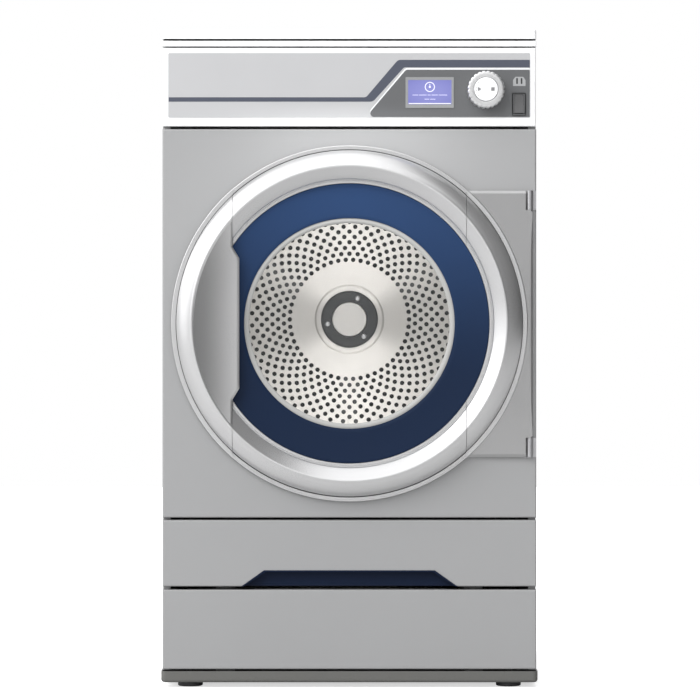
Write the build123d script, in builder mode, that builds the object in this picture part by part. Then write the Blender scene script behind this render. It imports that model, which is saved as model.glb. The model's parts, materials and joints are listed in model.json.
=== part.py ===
from build123d import *
import os
from math import cos, radians, sin, sqrt

# A free-standing tumble dryer for commercial use, in millimetres.
# Origin: centre of the bounding box on the floor. Front faces -Y, +X is to the right, +Z is up.

# ---------------------------------------------------------------- driving dimensions
cabinet_width = 595.0
cabinet_depth = 620.0
total_height = 1048.0
door_protrusion = 45.0
sheet = 1.2

half_width = cabinet_width / 2
front_y = -cabinet_depth / 2
rear_y = cabinet_depth / 2
door_crest_y = front_y - door_protrusion
spigot_end_y = rear_y + door_protrusion

# Heights of the front panels, from the floor up
foot_height = 8.4
base_top = 26.6
service_bottom, service_top = 29.7, 156.4
drawer_bottom, drawer_top = 161.5, 267.3
front_bottom, front_top = 271.0, 889.4
fascia_bottom, fascia_top = 893.7, 1018.8
trim_bottom, trim_top = 1021.0, 1030.0
lid_bottom = 1033.0

pan_depth = 18.0
drawer_pan_depth = 16.0
edge_radius = 2.5
side_front_y = front_y + pan_depth + 0.2
side_rear_y = rear_y - 1.5
side_flange = 12.0

door_z = 580.0
drum_z = 592.0
door_axis = Axis((0, 0, door_z), (0, 1, 0))
drum_axis = Axis((0, 0, drum_z), (0, 1, 0))


# ---------------------------------------------------------------- helpers
def turned_outline(points, height):
    """Closed outline of (radius, y) points, to be revolved about a front-to-back axis."""
    with BuildSketch(Plane.XY.offset(height)) as outline:
        with BuildLine():
            Polyline(*points, close=True)
        make_face()
    return outline.sketch


def front_pan(bottom, top, depth, width=cabinet_width):
    """Folded sheet panel with its edges returned towards the rear."""
    with BuildPart() as pan:
        with BuildSketch(Plane.XY.offset(bottom)):
            with Locations((0, front_y + depth / 2)):
                Rectangle(width, depth)
        extrude(amount=top - bottom)
        front_face = pan.faces().sort_by(Axis.Y)[0]
        fillet(front_face.edges(), radius=edge_radius)
        offset(amount=-sheet, openings=pan.faces().sort_by(Axis.Y)[-1])
    return pan.part


def along_y(x, y, z):
    """Work plane facing the front at a point, for bodies that run front to back."""
    return Plane(origin=(x, y, z), x_dir=(1, 0, 0), z_dir=(0, 1, 0))


# ---------------------------------------------------------------- base frame and feet
base_width = 600.0
base_wall = 2.0
foot_x, foot_y = 255.0, 270.0
foot_radius = 20.0
stem_radius = 5.0
base_floor = foot_height + base_wall

# Tensioner places, used by the base frame's spring post
spring_x, spring_y = 150.0, 150.0
spring_low, spring_high = 31.5, 134.5

with BuildPart() as base_frame:
    with BuildSketch(Plane.XY.offset(foot_height)):
        RectangleRounded(base_width, cabinet_depth, 8)
    extrude(amount=base_top - foot_height)
    fillet(base_frame.faces().sort_by(Axis.Z)[0].edges(), radius=5)
    offset(amount=-base_wall, openings=base_frame.faces().sort_by(Axis.Z)[-1])
    with Locations((0, 0, base_floor)):
        with GridLocations(2 * foot_x, 2 * foot_y, 2, 2):
            Cylinder(stem_radius + 0.2, 12, mode=Mode.SUBTRACT)
    with Locations((spring_x, spring_y, base_floor - 0.2)):
        post_height = spring_low - base_floor
        Cylinder(4, post_height, align=(Align.CENTER, Align.CENTER, Align.MIN))

with BuildPart() as levelling_feet:
    with GridLocations(2 * foot_x, 2 * foot_y, 2, 2):
        Cylinder(foot_radius, foot_height, align=(Align.CENTER, Align.CENTER, Align.MIN))
    fillet(levelling_feet.edges().filter_by(GeomType.CIRCLE), radius=2)
    with GridLocations(2 * foot_x, 2 * foot_y, 2, 2):
        Cylinder(stem_radius, 26, align=(Align.CENTER, Align.CENTER, Align.MIN))
    with BuildSketch(Plane.XY.offset(base_floor)):
        with GridLocations(2 * foot_x, 2 * foot_y, 2, 2):
            RegularPolygon(8.5, 6, major_radius=False)
    extrude(amount=6)

# ---------------------------------------------------------------- cabinet sides, rear, lid
screw_x = half_width - 6.5
screw_rows = [60, 240, 420, 600, 780, 960]
screw_shank = 1.9
screw_places = [(sx, z) for sx in (-screw_x, screw_x) for z in screw_rows]


def side_tray(sign):
    """Side wall with flanges turned inwards all round."""
    length = side_rear_y - side_front_y
    middle_y = (side_rear_y + side_front_y) / 2
    with BuildPart() as tray:
        with Locations((sign * (half_width - side_flange / 2), middle_y, (base_top + lid_bottom) / 2)):
            Box(side_flange, length, lid_bottom - base_top)
        inner_face = tray.faces().sort_by(Axis.X)[0 if sign > 0 else -1]
        offset(amount=-sheet, openings=inner_face)
        for x, z in screw_places:
            if x * sign > 0:
                with BuildSketch(along_y(x, side_rear_y - 4, z)):
                    Circle(screw_shank)
                extrude(amount=8, mode=Mode.SUBTRACT)
    return tray.part


with BuildPart() as side_panel_left:
    add(side_tray(-1))

with BuildPart() as side_panel_right:
    add(side_tray(1))

exhaust_x, exhaust_z = 28.0, 93.0
spigot_radius = 50.0
gland_x, gland_z = 220.0, 980.0
gland_thread = 10.0
louvre_rows = 9

with BuildPart() as rear_panel:
    with Locations((0, (side_rear_y + rear_y) / 2, (base_top + lid_bottom) / 2)):
        Box(cabinet_width - 3, rear_y - side_rear_y, lid_bottom - base_top - 1)
    with BuildSketch(along_y(exhaust_x, side_rear_y - 5, exhaust_z)):
        Circle(spigot_radius + 2)
    extrude(amount=20, mode=Mode.SUBTRACT)
    with BuildSketch(along_y(gland_x, side_rear_y - 5, gland_z)):
        Circle(gland_thread)
    extrude(amount=20, mode=Mode.SUBTRACT)
    with BuildSketch(along_y(0, side_rear_y - 5, drum_z)):
        for side in (-130, 130):
            with Locations((side, 0)):
                with GridLocations(0, 26, 1, louvre_rows):
                    SlotOverall(170, 7)
    extrude(amount=20, mode=Mode.SUBTRACT)
    for x, z in screw_places:
        with BuildSketch(along_y(x, side_rear_y - 5, z)):
            Circle(screw_shank)
        extrude(amount=20, mode=Mode.SUBTRACT)

with BuildPart() as panel_screws:
    for x, z in screw_places:
        with BuildSketch(along_y(x, side_rear_y - 3, z)):
            Circle(screw_shank)
        extrude(amount=rear_y + 1 - side_rear_y + 3)
        with BuildSketch(along_y(x, rear_y, z)):
            Circle(4.2)
        extrude(amount=2.4, taper=18)

with BuildPart() as top_panel:
    with BuildSketch(Plane.XY.offset(lid_bottom)):
        RectangleRounded(cabinet_width, cabinet_depth, 4)
    extrude(amount=total_height - lid_bottom)
    fillet(top_panel.faces().sort_by(Axis.Z)[-1].edges(), radius=3)
    offset(amount=-sheet, openings=top_panel.faces().sort_by(Axis.Z)[0])

with BuildPart() as top_trim:
    with Locations((0, front_y + pan_depth / 2, (trim_bottom + trim_top) / 2)):
        Box(cabinet_width, pan_depth, trim_top - trim_bottom)
    fillet(top_trim.faces().sort_by(Axis.Y)[0].edges(), radius=1.5)
    rail_width = cabinet_width - 2 * side_flange - 1
    with Locations((0, front_y + pan_depth + 19, (trim_bottom + trim_top) / 2)):
        Box(rail_width, 42, trim_top - trim_bottom)

# ---------------------------------------------------------------- control fascia
fascia_inset = 1.6
overlay_thickness = 1.0
overlay_width = 575.6
overlay_middle_x = -0.4
overlay_front = front_y - overlay_thickness
plate_front = overlay_front - 1.0
overlay_low, overlay_high = 907.7, 1010.3
knob_x, knob_z = 216.5, 950.7
knob_radius = 29.5
button_radius = 19.0
boss_inner, boss_outer = 19.5, 24.0
screen_x, screen_z = 127.9, 947.9
screen_width, screen_height = 69.2, 38.8
rocker_x, rocker_z = 269.7, 928.6
switch_width, switch_height = 18.0, 33.5
stem_hole = 6.05
fascia_inner = front_y + sheet


def fascia_cutouts():
    """Openings for the screen, the button's stem and the rocker switch."""
    with BuildSketch(along_y(0, plate_front - 5, 0)) as openings:
        with Locations((screen_x, -screen_z)):
            Rectangle(screen_width, screen_height)
        with Locations((knob_x, -knob_z)):
            Circle(stem_hole)
        with Locations((rocker_x, -rocker_z)):
            Rectangle(switch_width, switch_height)
    return openings.sketch


with BuildPart() as fascia_panel:
    add(front_pan(fascia_bottom, fascia_top, pan_depth, cabinet_width - fascia_inset))
    extrude(fascia_cutouts(), amount=15, mode=Mode.SUBTRACT)

with BuildPart() as control_overlay:
    with BuildSketch(along_y(overlay_middle_x, overlay_front, (overlay_low + overlay_high) / 2)):
        RectangleRounded(overlay_width, overlay_high - overlay_low, 2)
    extrude(amount=overlay_thickness)
    extrude(fascia_cutouts(), amount=15, mode=Mode.SUBTRACT)

plate_low, plate_high, plate_right = 908.6, 983.7, 286.8
plate_foot_x, plate_head_x = 26.4, 90.1
plate_corner = 6.0
with BuildPart() as control_plate:
    with BuildSketch(along_y(0, plate_front, 0)) as plate_outline:
        with BuildLine():
            Polyline(
                (plate_head_x, -plate_high),
                (plate_right, -plate_high),
                (plate_right, -plate_low),
                (plate_foot_x, -plate_low),
                close=True,
            )
        make_face()
        fillet(plate_outline.vertices().sort_by(Axis.X)[:2], radius=plate_corner)
    extrude(amount=1.0)
    with BuildSketch(along_y(knob_x, plate_front - 8, knob_z)):
        Circle(boss_outer)
    extrude(amount=8)
    with BuildSketch(along_y(knob_x, plate_front - 8, knob_z)):
        Circle(boss_inner)
    extrude(amount=8, mode=Mode.SUBTRACT)
    extrude(fascia_cutouts(), amount=15, mode=Mode.SUBTRACT)

with BuildPart() as display_screen:
    with Locations((screen_x, plate_front + 5.2, screen_z)):
        Box(screen_width, 12, screen_height)

board_y = front_y + 14.0
with BuildPart() as control_board:
    with Locations((130, board_y, 953)):
        Box(190, 1.6, 90)
    for x, z in [(45, 918), (45, 988), (215, 918), (215, 988)]:
        with BuildSketch(along_y(x, fascia_inner, z)):
            Circle(3)
        extrude(amount=board_y - fascia_inner)
    with Locations((80, board_y + 6, 970)):
        Box(36, 12, 28)
    with Locations((150, board_y + 4, 930)):
        Box(50, 8, 18)

lobe_count = 24
with BuildPart() as knob:
    with BuildSketch(along_y(knob_x, plate_front - 27, knob_z)):
        Circle(knob_radius)
    extrude(amount=26.4)
    chamfer(knob.faces().sort_by(Axis.Y)[0].edges(), length=3)
    with BuildSketch(along_y(knob_x, plate_front - 27, knob_z)):
        with PolarLocations(knob_radius + 1.6, lobe_count):
            Circle(2.9)
    extrude(amount=27, mode=Mode.SUBTRACT)
    with BuildSketch(along_y(knob_x, plate_front - 27, knob_z)):
        Circle(boss_inner)
    extrude(amount=27, mode=Mode.SUBTRACT)
    with BuildSketch(along_y(knob_x, plate_front - 8.4, knob_z)):
        Circle(boss_outer + 0.08)
    extrude(amount=9, mode=Mode.SUBTRACT)

with BuildPart() as start_button:
    with BuildSketch(along_y(knob_x, plate_front - 28, knob_z)):
        Circle(button_radius)
    extrude(amount=22)
    fillet(start_button.faces().sort_by(Axis.Y)[0].edges(), radius=1.5)
    with BuildSketch(along_y(knob_x, plate_front - 7, knob_z)):
        Circle(stem_hole - 0.05)
    extrude(amount=15)

rocker_pin = 1.5
rocker_pivot_y = front_y + 1.0
rocker_tilt = 8
with BuildPart() as rocker_housing:
    with Locations((rocker_x, plate_front - 1, rocker_z)):
        Box(21.8, 2, 36.9)
    fillet(rocker_housing.edges().filter_by(Axis.Y), radius=2)
    with Locations((rocker_x, plate_front + 8, rocker_z)):
        Box(switch_width, 16, switch_height)
    with Locations((rocker_x, plate_front + 6, rocker_z)):
        Box(16, 17, 31.6, mode=Mode.SUBTRACT)
    with Locations((rocker_x, rocker_pivot_y, rocker_z)):
        Cylinder(rocker_pin + 0.05, 17.6, rotation=(0, 90, 0), mode=Mode.SUBTRACT)

tilt = radians(rocker_tilt)
rocker_plane = Plane(
    origin=(rocker_x - 7.6, rocker_pivot_y, rocker_z),
    x_dir=(0, sin(tilt), cos(tilt)),
    z_dir=(1, 0, 0),
)
with BuildPart() as rocker:
    with BuildSketch(rocker_plane):
        with BuildLine():
            ThreePointArc((-15, 6), (0, 4.4), (15, 6))
            Polyline((15, 6), (13, -3), (-13, -3), (-15, 6))
        make_face()
    extrude(amount=15.2)
    with Locations((rocker_x, rocker_pivot_y, rocker_z)):
        Cylinder(rocker_pin, 17.4, rotation=(0, 90, 0))

# ---------------------------------------------------------------- front panels
port_radius = 205.0
with BuildPart() as front_panel:
    add(front_pan(front_bottom, front_top, pan_depth))
    with BuildSketch(along_y(0, front_y - 5, drum_z)):
        Circle(port_radius)
    extrude(amount=15, mode=Mode.SUBTRACT)

with BuildPart() as service_panel:
    add(front_pan(service_bottom, service_top, pan_depth))

collar_end_y = -252.0
with BuildPart() as loading_collar:
    collar_points = [
        (203.5, fascia_inner),
        (225, fascia_inner),
        (225, fascia_inner + 1.5),
        (205, fascia_inner + 1.5),
        (205, collar_end_y),
        (203.5, collar_end_y),
    ]
    revolve(turned_outline(collar_points, drum_z), axis=drum_axis)
    # Air leaves the drum through slots in the lower part of the collar
    slot_count = 9
    for index in range(slot_count):
        angle = radians(-90 + (index - (slot_count - 1) / 2) * 9)
        with BuildSketch(
            Plane(
                origin=(180 * cos(angle), -297, drum_z + 180 * sin(angle)),
                x_dir=(0, 1, 0),
                z_dir=(cos(angle), 0, sin(angle)),
            )
        ):
            SlotOverall(16, 8, rotation=0)
        extrude(amount=40, mode=Mode.SUBTRACT)

with BuildPart() as door_seal:
    seal_points = [
        (236, front_y),
        (246, front_y),
        (246, front_y - 2),
        (243, front_y - 5.6),
        (239, front_y - 5.6),
        (236, front_y - 2),
    ]
    revolve(turned_outline(seal_points, door_z), axis=door_axis)

with BuildPart() as door_catch:
    with Locations((-263, front_y - 2.8, door_z)):
        Box(12, 5.6, 44)
    fillet(door_catch.edges().filter_by(Axis.Y), radius=2)

# ---------------------------------------------------------------- bulkheads that carry the drum
bulkhead_width = cabinet_width - 2 * side_flange - 1
bulkhead_low, bulkhead_high = 275.0, 885.0
front_wall_y = -283.0
roller_radius = 25.0
drum_radius = 287.5
drum_wall = 1.2
drum_front_y, drum_rear_y = -262.0, 246.0
roller_gap = 0.3
roller_angle = radians(35)
roller_distance = drum_radius + roller_gap + roller_radius
roller_x = roller_distance * sin(roller_angle)
roller_z = drum_z - roller_distance * cos(roller_angle)
axle_radius = 6.0
roller_front_y, roller_rear_y = -258.0, -236.0

with BuildPart() as front_bulkhead:
    with Locations((0, front_wall_y - 4, (bulkhead_low + bulkhead_high) / 2)):
        Box(bulkhead_width, 8, bulkhead_high - bulkhead_low)
    offset(amount=-1.5, openings=front_bulkhead.faces().sort_by(Axis.Y)[0])
    with BuildSketch(along_y(0, front_wall_y - 5, drum_z)):
        Circle(port_radius + 4)
    extrude(amount=10, mode=Mode.SUBTRACT)
    for x in (-roller_x, roller_x):
        with BuildSketch(along_y(x, front_wall_y - 1, roller_z)):
            Circle(axle_radius)
        extrude(amount=roller_rear_y + 4 - front_wall_y)
        with BuildSketch(along_y(x, front_wall_y, roller_z)):
            Circle(axle_radius + 5)
        extrude(amount=roller_front_y - 1 - front_wall_y)


def support_roller(x):
    """Roller with a rubber-tyre profile that the drum's front rests on."""
    width = roller_rear_y - roller_front_y
    with BuildPart() as roller:
        with BuildSketch(along_y(x, roller_front_y, roller_z)):
            Circle(roller_radius)
        extrude(amount=width)
        fillet(roller.edges().filter_by(GeomType.CIRCLE), radius=2)
        with BuildSketch(along_y(x, roller_front_y, roller_z)):
            Circle(axle_radius + 0.05)
        extrude(amount=width, mode=Mode.SUBTRACT)
    return roller.part


with BuildPart() as roller_left:
    add(support_roller(-roller_x))

with BuildPart() as roller_right:
    add(support_roller(roller_x))

rear_wall_y = 250.0
with BuildPart() as rear_bulkhead:
    with Locations((0, rear_wall_y + 6, (bulkhead_low + bulkhead_high) / 2)):
        Box(bulkhead_width, 12, bulkhead_high - bulkhead_low)
    offset(amount=-1.5, openings=rear_bulkhead.faces().sort_by(Axis.Y)[-1])
    with BuildSketch(along_y(0, rear_wall_y - 5, drum_z)):
        Circle(255)
    extrude(amount=10, mode=Mode.SUBTRACT)

with BuildPart() as drum_seals:
    rear_seal = [(262, 246.4), (280, 246.4), (280, rear_wall_y), (262, rear_wall_y)]
    revolve(turned_outline(rear_seal, drum_z), axis=drum_axis)
    front_seal = [
        (205, collar_end_y - 12),
        (211.2, collar_end_y - 12),
        (211.2, collar_end_y),
        (205, collar_end_y),
    ]
    revolve(turned_outline(front_seal, drum_z), axis=drum_axis)

# ---------------------------------------------------------------- heater and bearing carrier
bearing_outer, bearing_bore, bearing_width = 23.5, 12.5, 12.0
bearing_places = [265.0, 288.0]
carrier_wall_y = 298.0
shaft_radius = bearing_bore - 0.05

with BuildPart() as heater_housing:
    housing_points = [
        (bearing_outer, 264),
        (bearing_outer + 6.5, 264),
        (bearing_outer + 6.5, carrier_wall_y),
        (250, carrier_wall_y),
        (262, rear_wall_y + 1.5),
        (276, rear_wall_y + 1.5),
        (276, rear_wall_y + 3),
        (263.4, rear_wall_y + 3),
        (251.4, carrier_wall_y + 1.5),
        (bearing_outer + 6.5, carrier_wall_y + 1.5),
        (bearing_outer + 6.5, 303),
        (bearing_outer, 303),
    ]
    revolve(turned_outline(housing_points, drum_z), axis=drum_axis)
    with BuildSketch(along_y(0, carrier_wall_y - 2, drum_z)):
        with PolarLocations(210, 16):
            SlotOverall(50, 14)
    extrude(amount=6, mode=Mode.SUBTRACT)

with BuildPart() as drum_bearings:
    for y in bearing_places:
        with BuildSketch(along_y(0, y, drum_z)):
            Circle(bearing_outer)
            Circle(bearing_bore, mode=Mode.SUBTRACT)
        extrude(amount=bearing_width)

heater_y = 277.0
heater_tube = 4.0
with BuildPart() as heater_elements:
    for ring_radius in (110, 150, 190):
        with BuildSketch(Plane.XY.offset(drum_z)):
            with Locations((ring_radius, heater_y)):
                Circle(heater_tube)
        revolve(axis=drum_axis)
        for turn in (20, 140, 260):
            x = ring_radius * cos(radians(turn))
            z = drum_z + ring_radius * sin(radians(turn))
            with BuildSketch(along_y(x, heater_y, z)):
                Circle(2.5)
            extrude(amount=carrier_wall_y - heater_y)

# ---------------------------------------------------------------- drum
with BuildPart() as drum_shell:
    shell_points = [
        (212, drum_front_y),
        (drum_radius, drum_front_y),
        (drum_radius, drum_rear_y),
        (drum_radius - drum_wall, drum_rear_y),
        (drum_radius - drum_wall, drum_front_y + drum_wall),
        (212, drum_front_y + drum_wall),
    ]
    revolve(turned_outline(shell_points, drum_z), axis=drum_axis)

back_front_y = 244.5
hub_hole = 31.0
hub_ring_radius = 50.3
emboss_radius = 58.0
holes_per_row = 50
row_count = 13
hole_radius = 4.0
first_row, row_step, row_shrink = 105.4, 10.9, 0.19
hub_screw_circle = 39.5
hub_screw_shank = 2.5
hub_screw_angles = [69, -50, -168]

with BuildPart() as drum_back:
    with BuildSketch(along_y(0, back_front_y, drum_z)):
        Circle(drum_radius - drum_wall)
        Circle(hub_hole, mode=Mode.SUBTRACT)
        for row in range(row_count):
            row_radius = first_row + row_step * row - row_shrink * row * row
            start = 0 if row % 2 == 0 else 180 / holes_per_row
            with PolarLocations(row_radius, holes_per_row, start_angle=start):
                Circle(hole_radius, mode=Mode.SUBTRACT)
    extrude(amount=drum_rear_y - back_front_y)
    with BuildSketch(along_y(0, back_front_y - 1.5, drum_z)):
        Circle(emboss_radius)
        Circle(hub_hole, mode=Mode.SUBTRACT)
    extrude(amount=1.5)
    for angle in hub_screw_angles:
        x = hub_screw_circle * cos(radians(angle))
        z = drum_z + hub_screw_circle * sin(radians(angle))
        with BuildSketch(along_y(x, back_front_y - 3, z)):
            Circle(hub_screw_shank)
        extrude(amount=6, mode=Mode.SUBTRACT)

hub_ring_front = 234.0
with BuildPart() as hub_ring:
    ring_points = [
        (hub_hole, back_front_y - 1.5),
        (hub_hole, hub_ring_front + 1.5),
        (hub_hole + 1.5, hub_ring_front),
        (hub_ring_radius - 4, hub_ring_front),
        (hub_ring_radius, hub_ring_front + 4),
        (hub_ring_radius, back_front_y - 1.5),
    ]
    revolve(turned_outline(ring_points, drum_z), axis=drum_axis)
    for angle in hub_screw_angles:
        x = hub_screw_circle * cos(radians(angle))
        z = drum_z + hub_screw_circle * sin(radians(angle))
        with BuildSketch(along_y(x, hub_ring_front - 1, z)):
            Circle(hub_screw_shank)
        extrude(amount=12, mode=Mode.SUBTRACT)

with BuildPart() as hub_screws:
    for angle in hub_screw_angles:
        x = hub_screw_circle * cos(radians(angle))
        z = drum_z + hub_screw_circle * sin(radians(angle))
        with BuildSketch(along_y(x, hub_ring_front, z)):
            Circle(hub_screw_shank)
        extrude(amount=drum_rear_y - hub_ring_front)
        with BuildSketch(along_y(x, hub_ring_front - 2.8, z)):
            Circle(4.6)
        extrude(amount=2.8)

shaft_end_y = 302.0
spider_thickness = 6.0
with BuildPart() as drum_shaft:
    shaft_points = [
        (0, 237),
        (hub_hole - 1.5, 237),
        (hub_hole, 238.5),
        (hub_hole, drum_rear_y),
        (70, drum_rear_y),
        (70, drum_rear_y + spider_thickness),
        (28, 260),
        (shaft_radius, 262),
        (shaft_radius, shaft_end_y),
        (0, shaft_end_y),
    ]
    revolve(turned_outline(shaft_points, drum_z), axis=drum_axis)
    for turn in (90, 210, 330):
        with BuildSketch(along_y(0, drum_rear_y, drum_z)):
            with PolarLocations(150, 1, start_angle=turn):
                Rectangle(190, 36)
        extrude(amount=spider_thickness)

lifter_height, lifter_foot, lifter_top = 58.0, 64.0, 24.0
lifter_front_y, lifter_rear_y = -255.0, 238.0
lifter_base = sqrt((drum_radius - drum_wall) ** 2 - (lifter_foot / 2) ** 2) - 0.02
with BuildPart() as drum_lifters:
    for turn in (90, 210, 330):
        outward = (cos(radians(turn)), 0, sin(radians(turn)))
        across = (-sin(radians(turn)), 0, cos(radians(turn)))
        lifter_plane = Plane(origin=(0, lifter_front_y, drum_z), x_dir=outward, z_dir=(0, 1, 0))
        with BuildSketch(lifter_plane) as lifter_outline:
            with BuildLine():
                Polyline(
                    (lifter_base, -lifter_foot / 2),
                    (lifter_base - lifter_height, -lifter_top / 2),
                    (lifter_base - lifter_height, lifter_top / 2),
                    (lifter_base, lifter_foot / 2),
                    close=True,
                )
            make_face()
            tips = lifter_outline.vertices().sort_by_distance((0, lifter_front_y, drum_z))[:2]
            fillet(tips, radius=9)
        extrude(amount=lifter_rear_y - lifter_front_y)

# ---------------------------------------------------------------- drum drive
motor_x, motor_z = 200.0, 200.0
motor_radius = 55.0
motor_front_y, motor_rear_y = 165.0, 285.0
motor_shaft = 8.0
pulley_radius = 16.0
belt_front_y, belt_rear_y = 146.0, 157.0
belt_gap = 0.3
belt_thickness = 2.5
motor_axis = Axis((motor_x, 0, motor_z), (0, 1, 0))
pivot_x, pivot_z = 110.0, 150.0
pivot_radius = 6.0

# The idler stands against the outside of the belt's lower span
belt_outer_drum = drum_radius + belt_gap + belt_thickness
belt_outer_pulley = pulley_radius + belt_gap + belt_thickness
centre_distance = sqrt(motor_x**2 + (drum_z - motor_z) ** 2)
span_x, span_z = motor_x / centre_distance, (motor_z - drum_z) / centre_distance
lean = (belt_outer_drum - belt_outer_pulley) / centre_distance
side_lean = sqrt(1 - lean**2)
normal_x = lean * span_x + side_lean * span_z
normal_z = lean * span_z - side_lean * span_x
idler_radius = 18.0
idler_along = 0.43
contact_x = normal_x * belt_outer_drum * idler_along
contact_x += (motor_x + normal_x * belt_outer_pulley) * (1 - idler_along)
contact_z = (drum_z + normal_z * belt_outer_drum) * idler_along
contact_z += (motor_z + normal_z * belt_outer_pulley) * (1 - idler_along)
idler_x = contact_x + normal_x * (idler_radius + belt_gap)
idler_z = contact_z + normal_z * (idler_radius + belt_gap)

with BuildPart() as drum_motor:
    with BuildSketch(along_y(motor_x, motor_front_y, motor_z)):
        Circle(motor_radius)
    extrude(amount=motor_rear_y - motor_front_y)
    fillet(drum_motor.edges().filter_by(GeomType.CIRCLE), radius=6)
    with BuildSketch(along_y(motor_x, motor_front_y + 7, motor_z)):
        Circle(motor_radius - 9)
    extrude(amount=motor_rear_y - motor_front_y - 14, mode=Mode.SUBTRACT)
    with BuildSketch(along_y(motor_x, motor_front_y - 1, motor_z)):
        Circle(motor_shaft + 0.05)
    extrude(amount=motor_rear_y - motor_front_y + 2, mode=Mode.SUBTRACT)
    # Feet down to the base frame
    foot_top = motor_z - motor_radius + 6
    for y in (motor_front_y + 22, motor_rear_y - 22):
        with Locations((motor_x, y, (base_floor + foot_top) / 2)):
            Box(70, 5, foot_top - base_floor)
    with Locations((motor_x, (motor_front_y + motor_rear_y) / 2, base_floor + 1.5)):
        Box(90, 96, 3)
    # Arm plate that carries the tensioner's pivot
    with BuildSketch(along_y(0, motor_front_y + 1, 0)) as arm_plate:
        with BuildLine():
            Polyline(
                (pivot_x - 12, -pivot_z + 12),
                (pivot_x - 12, -pivot_z - 12),
                (motor_x - 20, -motor_z - 40),
                (motor_x - 20, -motor_z + 44),
                close=True,
            )
        make_face()
    extrude(amount=5)
    with BuildSketch(along_y(motor_x, motor_front_y + 1, motor_z)):
        Circle(motor_shaft + 6)
    extrude(amount=5, mode=Mode.SUBTRACT)
    with BuildSketch(along_y(motor_x, motor_front_y, motor_z)):
        Circle(motor_shaft + 8)
        Circle(motor_shaft + 0.05, mode=Mode.SUBTRACT)
    extrude(amount=7)
    with BuildSketch(along_y(pivot_x, motor_front_y - 15, pivot_z)):
        Circle(pivot_radius)
    extrude(amount=18)

with BuildPart() as motor_rotor:
    rotor_points = [
        (0, 140),
        (motor_shaft, 140),
        (motor_shaft, 143),
        (pulley_radius + 3, 143),
        (pulley_radius + 3, 145),
        (pulley_radius, 145.6),
        (pulley_radius, 157.4),
        (pulley_radius + 3, 158),
        (pulley_radius + 3, 160),
        (motor_shaft, 160),
        (motor_shaft, 180),
        (motor_radius - 9.6, 180),
        (motor_radius - 9.6, 268),
        (motor_shaft, 268),
        (motor_shaft, 289),
        (0, 289),
    ]
    rotor_points = [(motor_x + radius, y) for radius, y in rotor_points]
    revolve(turned_outline(rotor_points, motor_z), axis=motor_axis)

with BuildPart() as drive_belt:
    for extra, belt_mode in ((belt_thickness, Mode.ADD), (0, Mode.SUBTRACT)):
        with BuildSketch(along_y(0, belt_front_y, 0)) as belt_outline:
            with BuildLine():
                CenterArc((0, -drum_z), drum_radius + belt_gap + extra, 0, 360)
                CenterArc((motor_x, -motor_z), pulley_radius + belt_gap + extra, 0, 360)
            make_hull()
        extrude(amount=belt_rear_y - belt_front_y, mode=belt_mode)

tail_x, tail_z = spring_x, 138.0
arm_front_y, arm_thickness = 159.0, 5.0
pivot_eye, idler_pin = 11.0, 5.0
with BuildPart() as tensioner_arm:
    with BuildSketch(along_y(0, arm_front_y, 0)) as arm_outline:
        with BuildLine():
            CenterArc((idler_x, -idler_z), 9, 0, 360)
            CenterArc((pivot_x, -pivot_z), pivot_eye, 0, 360)
        make_hull()
    extrude(amount=arm_thickness)
    with BuildSketch(along_y(0, arm_front_y, 0)) as tail_outline:
        with BuildLine():
            CenterArc((tail_x, -tail_z), 6, 0, 360)
            CenterArc((pivot_x, -pivot_z), pivot_eye, 0, 360)
        make_hull()
    extrude(amount=arm_thickness)
    with BuildSketch(along_y(pivot_x, 158, pivot_z)):
        Circle(pivot_radius + 0.05)
    extrude(amount=8, mode=Mode.SUBTRACT)
    with BuildSketch(along_y(idler_x, 142, idler_z)):
        Circle(idler_pin)
    extrude(amount=18)
    with BuildSketch(along_y(tail_x, 143, tail_z)):
        Circle(3)
    extrude(amount=17)

with BuildPart() as idler_pulley:
    with BuildSketch(along_y(idler_x, 144, idler_z)):
        Circle(idler_radius)
    extrude(amount=14)
    fillet(idler_pulley.edges().filter_by(GeomType.CIRCLE), radius=1)
    with BuildSketch(along_y(idler_x, 143, idler_z)):
        Circle(idler_pin + 0.05)
    extrude(amount=16, mode=Mode.SUBTRACT)

coil_radius, wire_radius, coil_turns = 5.5, 0.9, 16
coil_height = spring_high - spring_low - 2 * wire_radius
with BuildPart() as tension_spring:
    with BuildLine(Plane(origin=(spring_x, spring_y, spring_low + wire_radius))) as coil:
        Helix(pitch=coil_height / coil_turns, height=coil_height, radius=coil_radius)
    with BuildSketch(Plane(origin=coil.line @ 0, z_dir=coil.line % 0)):
        Circle(wire_radius)
    sweep(path=coil.line, is_frenet=True)

# ---------------------------------------------------------------- fan and exhaust
fan_x, fan_z = -140.0, 205.0
volute_radius = 105.0
fan_front_y, fan_rear_y = 90.0, 171.0
fan_axis = Axis((fan_x, 0, fan_z), (0, 1, 0))
duct_left, duct_right = exhaust_x - 53.0, exhaust_x + 53.0
duct_low, duct_high = exhaust_z - 53.0, exhaust_z + 53.0

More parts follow.
